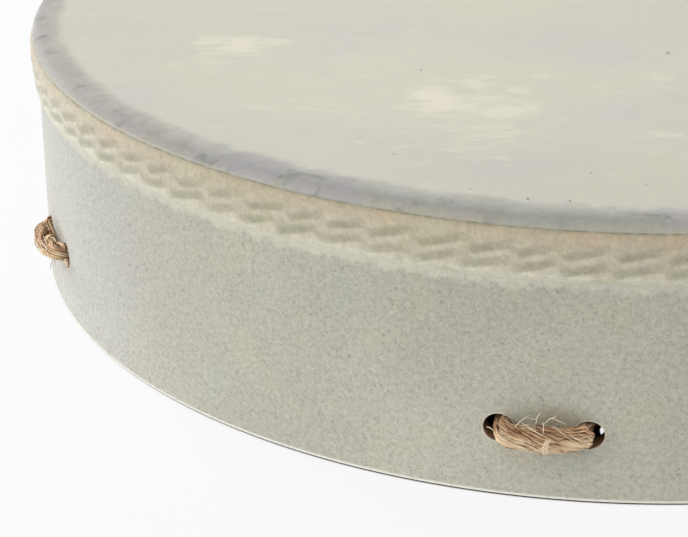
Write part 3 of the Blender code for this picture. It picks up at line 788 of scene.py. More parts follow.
def hollow_row(rng, along, length, level, start):
    """One row of hollows: how deep its lower edge lies at each place along the rim, and how strong it is."""
    cells = round(length / HOLLOW_PITCH)
    seen = start + np.arange(SEEN_HOLLOWS) * SEEN_PITCH
    others = cells - SEEN_HOLLOWS
    pitch = (length - seen[-1] + start) / (others + 1)
    others = seen[-1] + np.arange(1, others + 1) * pitch
    starts = np.concatenate([seen, others]) + rng.normal(0, 0.0006, cells)
    high = level - HOLLOW_RISE / 2 * rng.uniform(0.6, 1.2, cells)
    low = level + HOLLOW_RISE / 2 * rng.uniform(0.75, 1.2, cells)
    power = rng.uniform(0.70, 1.05, cells)
    ends = np.roll(starts, -1)
    ends[-1] += length
    spots, depths, strengths = [], [], []
    for index in range(cells):
        wide = ends[index] - starts[index]
        blunt = HOLLOW_BLUNT_END * rng.uniform(0.7, 1.3)
        tip = rng.uniform(0.78, 0.88)
        following = high[(index + 1) % cells]
        for share, depth, strength in (
            (0.0, low[index], 0.20),
            (blunt, low[index], 0.82),
            (0.30, low[index] * 0.72 + following * 0.28, 1.0),
            (0.55, low[index] * 0.42 + following * 0.58, 1.0),
            (tip, following, 0.72),
            (0.98, following, 0.15),
        ):
            spots.append(starts[index] + wide * share)
            depths.append(depth)
            strengths.append(strength * power[index])
    spots, depths, strengths = np.array(spots), np.array(depths), np.array(strengths)
    spots = np.concatenate([spots - length, spots, spots + length])
    edge = np.interp(along, spots, np.tile(depths, 3))
    strong = np.interp(along, spots, np.tile(strengths, 3))
    soft = np.array([1.0, 4.0, 6.0, 4.0, 1.0]) / 16.0
    edge = np.convolve(np.concatenate([edge[-3:-1], edge, edge[1:3]]), soft, "valid")
    strong = np.convolve(np.concatenate([strong[-3:-1], strong, strong[1:3]]), soft, "valid")
    return edge, strong


def ramp_between(value, low, high):
    """A soft step from 0 at low to 1 at high."""
    return smooth_step(np.clip((value - low) / (high - low), 0, 1))


def make_collar():
    """The band: its relief is one base curve less two rows of overlapping slanting hollows."""
    rng = np.random.default_rng(5)
    length = math.tau * COLLAR_BASE_RADIUS
    columns = round(length / HOLLOW_PITCH) * 24
    deepest = COLLAR_TOP - COLLAR_LOW.z
    depths = np.linspace(0.0, deepest, 50)
    angle = np.arange(columns + 1) / columns * math.tau
    along = angle * COLLAR_BASE_RADIUS

    rounded = np.sin(np.clip(depths / 0.0030, 0, 1) * math.pi / 2)
    at_top = HEAD_RADIUS - 0.0001 - COLLAR_BASE_RADIUS
    bulge = at_top + (0.0010 - at_top) * rounded
    low_roll = 0.0003 + 0.0005 * np.clip(1 - np.abs(depths - 0.0096) / 0.0028, 0, 1) ** 0.7
    mixed = smooth_step(np.clip((depths - 0.0062) / 0.0022, 0, 1))
    bulge = bulge * (1 - mixed) + low_roll * mixed
    flange = np.clip((depths - FLANGE_DEPTH) / (deepest - FLANGE_DEPTH), 0, 1)
    thin = COLLAR_BASE_RADIUS - COVERING_RADIUS + 0.00022
    profile = bulge * (1 - flange) - thin * flange * flange * (3 - 2 * flange)
    relief = np.tile(profile, (columns + 1, 1))
    hollow_shade_map = np.zeros_like(relief)
    ledge_highlight_map = np.zeros_like(relief)
    for level, start in zip(ROW_DEPTHS, HOLLOW_STARTS):
        edge, strong = hollow_row(rng, along, length, level, start)
        below = depths[None, :] - edge[:, None]
        dip = strong[:, None] * ramp_between(below, -0.0036, -0.0014) * ramp_between(below, 0.0008, -0.0002)
        relief = np.minimum(relief, profile - HOLLOW_DIP * dip)
        # Painted shade in each hollow and a painted highlight on the ledge under it, kept as point values for the
        # band's finish
        hollow_shading = strong[:, None] * ramp_between(below, -0.0037, -0.0013) * ramp_between(below, 0.0003, -0.0004)
        hollow_shade_map = np.maximum(hollow_shade_map, hollow_shading)
        crest = np.exp(-(((below - 0.0012) / 0.0008) ** 2)) * np.clip(strong[:, None] * 1.3, 0, 1)
        ledge_highlight_map = np.maximum(ledge_highlight_map, crest)
    ripple = np.zeros_like(relief)
    for _ in range(60):
        turns = rng.integers(40, 260)
        lean = rng.uniform(-300, 700)
        ripple += np.sin(turns * angle[:, None] + lean * depths[None, :] + rng.uniform(0, math.tau))
    relief += 0.000012 * ripple * (1 - 0.5 * flange) * np.clip(depths / 0.0020, 0.1, 1)

    inner = COVERING_RADIUS - 0.0002
    height = COLLAR_TOP - np.tile(depths, (columns + 1, 1))
    radius = np.clip(COLLAR_BASE_RADIUS + relief, inner + 0.0001, COLLAR_HIGH.x)
    back_radius = np.full((columns + 1, 2), COVERING_RADIUS + 0.0010)
    back_radius[:, 0] = inner
    back_height = np.stack([height[:, -1], np.full(columns + 1, COLLAR_TOP)], axis=-1)
    radius = np.concatenate([radius, back_radius], axis=1)
    height = np.concatenate([height, back_height], axis=1)
    edges = np.zeros((columns + 1, 2))
    depth_map = np.tile(np.concatenate([depths, [deepest, 0.0]]), (columns + 1, 1))
    values = {
        "depth": depth_map,
        "hollow_shade": np.concatenate([hollow_shade_map, edges], axis=1),
        "ledge_highlight": np.concatenate([ledge_highlight_map, edges], axis=1),
    }
    rows = np.stack([radius * np.cos(angle)[:, None], radius * np.sin(angle)[:, None], height], axis=-1)
    sheet = np.stack([np.tile(along[:, None], (1, radius.shape[1])), depth_map], axis=-1)
    net = Net()
    net.add_grid(rows, sheet, values, around=True, caps=False)
    item = net.make("head_collar_band", pressed_band())
    weld(item)
    item.data.shade_smooth()
    item.data.set_sharp_from_angle(angle=math.radians(60))
    stand_for(item, "head_collar")


# Shell and covering, with the rope holes
def station_frame(angle):
    """The outward, sideways and upward directions at a rope station."""
    outward = Vector((math.cos(angle), math.sin(angle), 0.0))
    sideways = Vector((-math.sin(angle), math.cos(angle), 0.0))
    return outward, sideways, Vector((0.0, 0.0, 1.0))


def hole_cutter():
    bm = bmesh.new()
    for angle in STATION_ANGLES.values():
        outward, sideways, upward = station_frame(angle)
        for side in (-1, 1):
            middle = outward * (SHELL_RADIUS + SHELL_INNER_RADIUS) / 2 + upward * STATION_HEIGHT
            middle += sideways * side * HOLE_SPACING / 2
            place = Matrix((sideways, upward, outward)).transposed().to_4x4()
            place.translation = middle
            bmesh.ops.create_cone(
                bm,
                cap_ends=True,
                segments=HOLE_SIDES,
                radius1=HOLE_DIAMETER / 2,
                radius2=HOLE_DIAMETER / 2,
                depth=4 * SHELL_WALL,
                matrix=place,
            )
    bmesh.ops.recalc_face_normals(bm, faces=bm.faces)
    mesh = bpy.data.meshes.new("hole_cutter")
    bm.to_mesh(mesh)
    bm.free()
    cutter = bpy.data.objects.new("hole_cutter", mesh)
    bpy.context.scene.collection.objects.link(cutter)
    return cutter


def cut_holes(item, cutter):
    """Cut the holes and keep the result as the piece's own mesh."""
    cut = item.modifiers.new("holes", "BOOLEAN")
    cut.operation = "DIFFERENCE"
    cut.solver = "EXACT"
    cut.object = cutter
    graph = bpy.context.evaluated_depsgraph_get()
    mesh = bpy.data.meshes.new_from_object(item.evaluated_get(graph))
    item.modifiers.clear()
    item.data = mesh
    mesh.shade_smooth()
    mesh.set_sharp_from_angle(angle=math.radians(35))


def make_shell(cutter):
    """The fibre-board ring under the covering."""
    round_foot = SHELL_EDGE_RADIUS
    outer = (SHELL_RADIUS - round_foot, round_foot)
    inner = (SHELL_INNER_RADIUS + round_foot, round_foot)
    top = SHELL_HIGH.z
    profile = [(SHELL_RADIUS, SEAM_LEVEL - 0.0008)]
    profile += arc(outer, round_foot, round_foot, 0, -90, 5)
    profile += arc(inner, round_foot, round_foot, -90, -180, 5)
    profile += [(SHELL_INNER_RADIUS, top - 0.0020), (SHELL_INNER_RADIUS + 0.0018, top)]
    profile.append(profile[0])
    rows, sheet = turned_net(profile, ROUND_STEPS)
    net = Net()
    net.add_grid(rows, sheet, {}, around=False, caps=False)
    item = net.make("shell_core", fibre_core())
    weld(item)
    cut_holes(item, cutter)
    stand_for(item, "shell")


def make_covering(cutter):
    """The thin felted sheet round the shell, with its butted seam on the far side."""
    inner = COVERING_RADIUS - COVERING_THICKNESS
    low, high = COVERING_LOW.z, COVERING_HIGH.z
    lip = 0.0002
    profile = [(inner, low), (COVERING_RADIUS - lip, low), (COVERING_RADIUS, low + lip)]
    profile += [(COVERING_RADIUS, low + (high - low) * share) for share in (0.25, 0.5, 0.75)]
    profile += [(COVERING_RADIUS, high), (inner, high)]
    half_seam = COVERING_SEAM / 2 / COVERING_RADIUS
    rows, sheet = turned_net(profile, ROUND_STEPS, half_seam, math.tau - half_seam)
    net = Net()
    net.add_grid(rows, sheet, {}, around=True, caps=True)
    item = net.make("shell_covering_sheet", speckled_fibre())
    bm = bmesh.new()
    bm.from_mesh(item.data)
    bmesh.ops.recalc_face_normals(bm, faces=bm.faces)
    bm.to_mesh(item.data)
    bm.free()
    cut_holes(item, cutter)
    stand_for(item, "shell_covering")


# Ropes. A route is a list of places: a point, the rope's radius there, and its height as a share of its width.
def smooth_step(share):
    return share * share * (3 - 2 * share)


def level_step(share):
    return share**3 * (share * (6 * share - 15) + 10)


def stitch_plan(in_hole, bent, mid):
    """Half a stitch, from inside the shell to its middle: sideways, outward and upward, radius and height."""
    squeezed = DEPTH_IN_HOLE / 2
    after_bend = DEPTH_AFTER_BEND / 2
    middle = DEPTH_AT_MIDDLE / 2
    edge_side = HOLE_SPACING / 2 - HOLE_DIAMETER / 2
    edge_out = math.sqrt(COVERING_RADIUS**2 - edge_side**2)
    reach = BEND_RADIUS - DEPTH_AT_EDGE / 2 - JOINT_GAP
    centre_side = edge_side - math.sqrt(reach**2 - BEND_DEPTH**2)
    centre_out = edge_out - BEND_DEPTH
    hole_side = centre_side + BEND_RADIUS
    wall_face = SHELL_INNER_RADIUS - JOINT_GAP
    plan = []
    for share in (1.0, 0.5, 0.0):
        rise = smooth_step(share)
        radius = squeezed + (ROPE_RADIUS - squeezed) * rise
        tall = in_hole[0] + (1 - in_hole[0]) * rise
        plan.append((hole_side, wall_face - ROPE_STRAIGHT_AT_WALL * share, in_hole[1], radius, tall))
    for step in range(BEND_STEPS + 1):
        turn = math.pi / 2 * step / BEND_STEPS
        rise = smooth_step(step / BEND_STEPS)
        side = centre_side + BEND_RADIUS * math.cos(turn)
        out = centre_out + BEND_RADIUS * math.sin(turn)
        tall, lift = (here + (there - here) * rise for here, there in zip(in_hole, bent))
        radius = squeezed + (after_bend - squeezed) * rise
        plan.append((side, out, lift, radius, tall))
    crown = COVERING_RADIUS + JOINT_GAP + middle
    bend_top = plan[-1][1]
    for share in (0.5, 1.0):
        rise = smooth_step(share)
        out = bend_top + (crown - bend_top) * rise
        tall, lift = (here + (there - here) * rise for here, there in zip(bent, mid))
        radius = after_bend + (middle - after_bend) * rise
        plan.append((centre_side * (1 - share), out, lift, radius, tall))
    return plan


def half_stitch(angle):
    return stitch_plan(*(RAISED_STITCH if angle == STATION_ANGLES["left_back"] else PLAIN_STITCH))


def stitch_route(angle):
    outward, sideways, upward = station_frame(angle)
    half = half_stitch(angle)
    whole = [(-side, *rest) for side, *rest in half] + list(reversed(half[:-1]))
    base = upward * STATION_HEIGHT
    route = []
    for side, out, lift, radius, tall in whole:
        route.append((base + sideways * side + outward * out + upward * lift, radius, tall))
    return route


def strand_route(grip_end, mouth, inward):
    """From the grip's end to a hole's mouth in the shell, without its two end points."""
    span = (mouth - grip_end).length
    along = Vector((math.copysign(1.0, grip_end.x), 0.0, 0.0)) * span * STRAND_TENSION
    into_wall = -inward * span * STRAND_TENSION
    places = []
    for step in range(1, STRAND_STEPS):
        s = step / STRAND_STEPS
        point = grip_end * (2 * s**3 - 3 * s**2 + 1) + along * (s**3 - 2 * s**2 + s)
        point += mouth * (3 * s**2 - 2 * s**3) + into_wall * (s**3 - s**2)
        point.z = grip_end.z + (mouth.z - grip_end.z) * level_step(s)
        places.append((point, ROPE_RADIUS, 1.0))
    return places


def rope_route(side):
    """One rope's route: side is 1 for the rope at the back (+Y) and -1 for the one in front."""
    pitch = ROPE_DIAMETER + STRAND_GAP
    straight = GRIP_LENGTH / 2 + ROPE_RUN_OUT

    def grip_place(x, level):
        return Vector((x, side * pitch / 2, GRIP_HEIGHT + level * pitch / 2)), ROPE_RADIUS, 1.0

    def station_loop(name, direction, first_level):
        outward, _, _ = station_frame(STATION_ANGLES[name])
        stitch = stitch_route(STATION_ANGLES[name])
        if direction < 0:
            stitch.reverse()
        grip_x = math.copysign(straight, outward.x)
        leaving = grip_place(grip_x, first_level)
        coming = grip_place(grip_x, -first_level)
        out_run = strand_route(leaving[0], stitch[0][0], -outward)
        back_run = strand_route(coming[0], stitch[-1][0], -outward)
        back_run.reverse()
        return [leaving] + out_run + stitch + back_run + [coming]

    row = "back" if side > 0 else "front"
    route = [grip_place(ROPE_END_GAP / 2, -1)]
    route += station_loop("right_" + row, side, -1)
    route += station_loop("left_" + row, side, 1)
    route.append(grip_place(-ROPE_END_GAP / 2, -1))
    return route


def binding_route():
    """The winding along the grip, which starts and ends on a straight side."""
    strand = (ROPE_DIAMETER + STRAND_GAP) / 2
    reach = ROPE_RADIUS + JOINT_GAP + BINDING_CORD / 2
    turn = []
    for corner in range(4):
        middle = math.pi / 4 - corner * math.pi / 2
        centre_y = math.copysign(strand, math.cos(middle))
        centre_z = math.copysign(strand, math.sin(middle))
        for step in range(CORNER_STEPS + 1):
            angle = middle + math.pi / 4 - math.pi / 2 * step / CORNER_STEPS
            turn.append((centre_y + reach * math.cos(angle), centre_z + reach * math.sin(angle)))
    pitch = BINDING_CORD + BINDING_TURN_GAP
    turns = int((GRIP_LENGTH - BINDING_CORD) / pitch)
    lengths = [math.dist(turn[index], turn[index - 1]) for index in range(len(turn))]
    advance = [0.0]
    for index in range(1, len(turn) * turns + 1):
        advance.append(advance[-1] + pitch * lengths[index % len(turn)] / sum(lengths))
    corners = turn * turns + turn[:1]
    start = -advance[-1] / 2
    return [(Vector((start + x, y, GRIP_HEIGHT + z)), BINDING_CORD / 2, 1.0) for x, (y, z) in zip(advance, corners)]


def fine_route(route, step):
    """The route as evenly spaced points on a smooth curve, with their radii and heights."""
    points = np.array([tuple(point) for point, _, _ in route])
    sizes = np.array([(radius, tall) for _, radius, tall in route])
    padded = np.vstack([2 * points[0] - points[1], points, 2 * points[-1] - points[-2]])
    fine, wide = [], []
    for index in range(len(points) - 1):
        before, start, end, after = padded[index : index + 4]
        gap = np.linalg.norm(end - start)
        lead = (end - before) / (np.linalg.norm(start - before) + gap) * gap
        tail = (after - start) / (np.linalg.norm(after - end) + gap) * gap
        for s in np.linspace(0, 1, 24, endpoint=False):
            point = start * (2 * s**3 - 3 * s**2 + 1) + lead * (s**3 - 2 * s**2 + s)
            fine.append(point + end * (3 * s**2 - 2 * s**3) + tail * (s**3 - s**2))
            wide.append(sizes[index] * (1 - s) + sizes[index + 1] * s)
    fine.append(points[-1])
    wide.append(sizes[-1])
    fine, wide = np.array(fine), np.array(wide)
    travelled = np.concatenate([[0], np.cumsum(np.linalg.norm(np.diff(fine, axis=0), axis=1))])
    even = np.linspace(0, travelled[-1], max(2, round(travelled[-1] / step)) + 1)
    place = np.stack([np.interp(even, travelled, fine[:, axis]) for axis in range(3)], axis=-1)
    return place, np.interp(even, travelled, wide[:, 0]), np.interp(even, travelled, wide[:, 1]), even


def carried_frames(place):
    """Directions along and across a line, turned as little as can be from point to point."""
    ahead = np.gradient(place, axis=0)
    ahead /= np.linalg.norm(ahead, axis=1)[:, None]
    across = np.zeros_like(ahead)
    first = np.cross(ahead[0], (0.0, 0.0, 1.0))
    across[0] = first / np.linalg.norm(first)
    for index in range(1, len(ahead)):
        line = across[index - 1] - ahead[index] * np.dot(across[index - 1], ahead[index])
        across[index] = line / np.linalg.norm(line)
    return ahead, across, np.cross(ahead, across)


def drift(rng, length, pitch, count):
    """A smooth random line, about -1 to 1, with bends about a pitch apart."""
    knots = rng.uniform(-1, 1, max(2, int(length / pitch) + 3))
    position = np.linspace(0, len(knots) - 1, count)
    low = np.clip(position.astype(int), 0, len(knots) - 2)
    share = position - low
    share = share * share * (3 - 2 * share)
    return knots[low] * (1 - share) + knots[low + 1] * share


def raise_up(points, place, tall):
    """Stretch a section upward about the rope's centre line."""
    points = points.copy()
    points[..., 2] = place[..., 2] + (points[..., 2] - place[..., 2]) * tall
    return points


def lay_rope(net, route, lay, phase, yarns, step, looseness, rng):
    """Three strands laid round a route, each a bundle of yarns of several tones round a dark core that stands for the
    shade inside the strand.
    """
    place, radius, tall, travelled = fine_route(route, step)
    _, across, over = carried_frames(place)
    length = travelled[-1]
    count = len(place)

    def tube(centre, outward, sideways, size, sides, tone, heart, heart_size):
        angles = np.arange(sides) / sides * math.tau
        ring = np.cos(angles)[None, :, None] * outward[:, None, :]
        ring = ring + np.sin(angles)[None, :, None] * sideways[:, None, :]
        rows = centre[:, None, :] + ring * size[:, None, None]
        far = np.linalg.norm(rows - place[:, None, :], axis=2) / radius[:, None]
        near = np.linalg.norm(rows - heart[:, None, :], axis=2) / heart_size[:, None]
        sheet = np.stack(
            [np.tile(travelled[:, None] + tone, (1, sides)), angles[None, :] * size[:, None] + tone], axis=-1
        )
        tones = np.clip(tone + 0.2 * drift(rng, length, lay / 2, count), 0, 1)
        # crown: how far out from the rope's core, read by the finish for its painted groove shade
        values = {"crown": 0.6 * far + 0.4 * near, "tone": np.tile(tones[:, None], (1, sides))}
        rows = raise_up(rows, place[:, None, :], tall[:, None])
        net.add_grid(rows, sheet, values, around=True, caps=True)

    strands = []
    for strand in range(3):
        turn = phase + math.tau * travelled / lay + math.tau * strand / 3
        turn += looseness * 0.40 * drift(rng, length, lay / 2, count)
        reach = radius * (0.48 + looseness * 0.05 * drift(rng, length, lay / 3, count))
        outward = np.cos(turn)[:, None] * across + np.sin(turn)[:, None] * over
        centre = place + outward * reach[:, None]
        ahead = np.gradient(centre, axis=0)
        ahead /= np.linalg.norm(ahead, axis=1)[:, None]
        sideways = np.cross(ahead, outward)
        sideways /= np.linalg.norm(sideways, axis=1)[:, None]
        outward = np.cross(sideways, ahead)
        size = radius * (0.52 + looseness * 0.04 * drift(rng, length, lay / 4, count))
        # A dark core, painted shade seen between the yarns
        tube(centre, outward, sideways, size * 0.66, 6, 0.1, centre, size)
        for yarn in range(yarns):
            spin = math.tau * yarn / yarns - math.tau * travelled / YARN_LAY
            spin += 0.35 * looseness * drift(rng, length, lay / 3, count)
            out = size * (0.74 + 0.10 * drift(rng, length, lay / 4, count))
            wide = size * 1.15 * math.pi / yarns * (0.80 + 0.30 * drift(rng, length, lay / 5, count))
            middle = centre + outward * (np.cos(spin) * out)[:, None] + sideways * (np.sin(spin) * out)[:, None]
            tube(middle, outward, sideways, wide, 4, rng.uniform(0, 1), centre, size)
        strands.append((place, tall, centre, outward, sideways, size))
    return strands


def lay_fibres(net, strands, step, low, high, count, rng):
    """Single fibres that lie along the strands between two shares of the rope's length."""
    total = len(strands[0][0])
    for _ in range(count):
        place, tall, centre, outward, sideways, size = strands[rng.integers(3)]
        reach = rng.uniform(0.004, 0.013)
        start = int(rng.uniform(low, high) * total)
        end = min(start + max(4, round(reach / step)), total - 1)
        spots = np.linspace(start, end, 5).astype(int)
        if end - start < 4:
            continue
        spin = rng.uniform(0, math.tau) + np.linspace(0, rng.normal(0, 0.9), 5)
        out = size[spots] * (np.array([0.90, 1.06, 1.10, 1.06, 0.90]) + rng.uniform(0, 0.10))
        line = centre[spots] + outward[spots] * (np.cos(spin) * out)[:, None]
        line = line + sideways[spots] * (np.sin(spin) * out)[:, None]
        line = raise_up(line, place[spots], tall[spots])
        add_hair(net, line, rng.uniform(0.00005, 0.00013), rng.uniform(0.0, 1.0))


def add_hair(net, points, width, tone):
    """A loose fibre: a fine tapered tube along a smooth line through its points."""
    route = [(Vector(point), width, 1.0) for point in points]
    place, _, _, travelled = fine_route(route, 0.0008)
    _, across, over = carried_frames(place)
    sides = 3
    angles = np.arange(sides) / sides * math.tau
    taper = width * (1 - 0.75 * np.abs(2 * travelled / travelled[-1] - 1) ** 3)
    rows = (
        place[:, None, :]
        + across[:, None, :] * (np.cos(angles)[None, :] * taper[:, None])[..., None]
        + over[:, None, :] * (np.sin(angles)[None, :] * taper[:, None])[..., None]
    )
    sheet = np.zeros((len(place), sides, 2))
    net.add_grid(rows, sheet, {"tone": np.full((len(place), sides), tone)}, around=True, caps=True)


def scatter_hairs(net, route, spacing, reach, width, rng):
    """Short loose fibres that leave a rope's surface along its lay."""
    place, radius, _, _ = fine_route(route, ROUTE_STEP)
    ahead, across, over = carried_frames(place)
    for index in range(4, len(place) - 4, max(1, round(spacing / ROUTE_STEP))):
        if np.hypot(*place[index][:2]) > SHELL_INNER_RADIUS - 0.004 and np.hypot(*place[index][:2]) < COVERING_RADIUS:
            continue
        turn = rng.uniform(0, math.tau)
        outward = math.cos(turn) * across[index] + math.sin(turn) * over[index]
        along = ahead[index] * rng.choice((-1, 1))
        slide = np.cross(ahead[index], outward) * rng.uniform(-1, 1)
        size = reach * rng.uniform(0.35, 1.0)
        start = place[index] + outward * radius[index] * 0.85
        middle = start + along * size * 0.5 + outward * size * rng.uniform(0.05, 0.16) + slide * size * 0.25
        end = middle + along * size * rng.uniform(0.1, 0.5) + outward * size * rng.uniform(-0.1, 0.15)
        end += slide * size * rng.uniform(0.1, 0.5)
        add_hair(net, [start, middle, end], width * rng.uniform(0.6, 1.2), rng.uniform(0.4, 1.0))


# Loose fibres of the two seen stitches: sideways, upward and outward places at their station
FRONT_FIBRES = (
    ((-8, 3.5, 5.5), (-6, 6.5, 6.5), (-3.5, 9, 7)),
    ((-4, 8, 7), (-3, 7.5, 6.5), (-1.5, 7, 6), (-2, 5.5, 6)),
    ((-0.5, 10, 7), (-1.5, 8, 6.5), (-1.5, 6, 6)),
    ((0, 7, 6.5), (0.5, 6, 7), (0.5, 4, 8.5)),
    ((0, 6, 6.5), (1, 7, 7), (2.5, 8.5, 7), (7, 6, 5.5)),
    ((2.5, 8.5, 7), (3.5, 9, 7), (4, 9.5, 7)),
    ((1.5, 3, 9), (1.5, 1.5, 9), (1, -1.5, 8.5), (1, -4, 6.5)),
    ((0, 1, 9), (1.5, 0.5, 9), (2, -1.5, 8.5), (1.5, -3.5, 7)),
    ((2.5, 2.5, 9), (2, 0.5, 9), (1.5, -1.5, 8.5)),
    ((3, 3, 9), (2, 2, 9), (1, 0.5, 9)),
    ((-6, 6, 6.5), (-2.5, 5, 8), (0.5, 3.5, 9)),
    ((-10, -4, 5), (-7, -6.5, 3.5), (-4.5, -8, 2)),
    ((9, -2.5, 6), (10.5, -4, 4.5), (11.5, -5.5, 2.5)),
    ((9, 3.5, 8.5), (10.5, 3.5, 8.5), (11.5, 2.5, 8), (14, 2, 6)),
    ((-16, 2, 3.5), (-15, 2.5, 4.5), (-13.5, 2, 5.5)),
)
# Short strands and tufts at the same two stitches, and dark strands laid in the gaps as painted shade: half width, tone
# from dark to pale, then the places
FRONT_STRANDS = (
    (0.16, -0.5, (-9, 3), (-7, 2.5), (-4.5, 2.5)),
    (0.12, -0.4, (-3.5, 2.5), (-1.5, 2.5), (0.5, 2)),
    (0.22, -0.5, (3, 1.5), (4.5, 0.5), (6, -0.5)),
    (0.2, -0.3, (5.5, -1.5), (6.5, -2.5)),
    (0.16, -0.4, (-11, 3.5), (-10, 3.5), (-9, 2.5)),
    (0.12, -0.4, (-13, 0.5), (-11, 1), (-8.5, 1)),
    (0.1, -0.3, (-5.5, 0), (-4.5, -1), (-3, -1.5)),
    (0.1, -0.3, (-4.5, 0), (-2, -0.5), (0, -1.5)),
    (0.14, -0.3, (4.5, 1.5), (7.5, 2), (11.5, 2)),
    (0.22, 0.85, (-12.5, -0.5), (-8, -1), (-4, -2.5), (0, -3)),
    (0.22, 0.8, (-11.5, 0.5), (-7, 0), (-3, -0.5), (0.5, -2)),
    (0.18, 0.7, (-10, 1.5), (-6, 1), (-2, 0.5), (0.5, -1)),
    (0.2, 0.85, (2, -2.5), (4, -3), (6.5, -3)),
    (0.18, 0.8, (1.5, -0.5), (4, -1), (6.5, -1.5)),
    (0.22, 0.8, (4.5, 0.5), (7.5, -1), (10.5, -1.5), (12.5, -1.5)),
    (0.2, 0.75, (5, 1), (8, 1), (11, 0.5), (13, 0)),
    (0.18, 0.55, (6, 3.5), (8.5, 3.5), (11.5, 3.5)),
    (0.16, 0.45, (4.5, 2), (7, 2.5), (9, 3), (12, 2.5)),
    (0.16, 0.5, (-10, 3.5), (-7, 4), (-3.5, 3.5), (-1, 3.5)),
    (0.16, 0.45, (-9.5, 3.5), (-6, 3.5), (-3, 3), (-0.5, 2.5)),
    (0.16, 0.5, (-2, 3.5), (1, 3.5), (4.5, 3.5), (7.5, 3)),
    (0.3, 1.1, (1.5, 2), (1, 0.5), (0.5, -1.5), (1, -3.5)),
    (0.28, 1.1, (2, 1.5), (1.5, -0.5), (1.5, -3.5)),
    (0.26, 1.1, (0.5, 0), (1, -1.5), (1, -3.5)),
    (0.45, 0.42, (9.5, 4), (12, 5, 4), (13, 3, 3), (14, 1.5, 1), (14.5, 0, -1)),
    (0.45, 0.56, (10, 3.5), (12, 4, 4.5), (13, 2.5, 3), (14, 0.5, 1), (14.5, -0.5, -1)),
    (0.45, 0.66, (10, 3), (12, 2.5), (13.5, 1.5, 2.5), (14, 0, 0.5)),
    (0.4, 0.75, (10.5, 2), (12.5, 2), (13.5, 1), (14, -1, -0.5)),
    (0.1, 1.05, (13, 2), (13.5, 1), (14, 0)),
    (0.26, 0.5, (-4.5, 3), (-1.5, 2.5), (1.5, 1.5), (4.5, 0.5)),
    (0.24, 0.66, (-3.5, 3), (-0.5, 2), (2.5, 1.5), (5.5, 0.5)),
    (0.24, 0.42, (-6, 3), (-3, 2), (0, 1.5), (3, 0.5)),
    (0.22, 0.6, (-4, 3.5), (-1, 3), (2, 2), (4.5, 1)),
    (0.16, -0.4, (-2, 4), (-1, 3.5), (0.5, 3)),
    (0.16, -0.4, (-2, 3.5), (-0.5, 3), (0.5, 2.5)),
    (0.2, -0.4, (-8, 3), (-6.5, 3), (-5, 2.5)),
    (0.14, -0.3, (-3, 0.5), (-1.5, 0), (0, -0.5, 8)),
    (0.14, -0.3, (-5.5, 1), (-4, 0), (-3, -0.5)),
    (0.22, 0.82, (-13, 0), (-9.5, -0.5), (-6.5, -1.5), (-2.5, -2)),
    (0.2, 0.9, (-12, 1), (-8.5, 1), (-4.5, 0.5), (-0.5, 0)),
    (0.2, 0.8, (-10, -1.5), (-7, -2.5), (-3, -3), (0, -3)),
    (0.2, 0.72, (-13, 4, 4), (-12, 3), (-10, 2.5), (-9, 2.5)),
    (0.18, 0.6, (-12.5, 4.5, 3.5), (-11.5, 3.5), (-10, 3.5)),
)
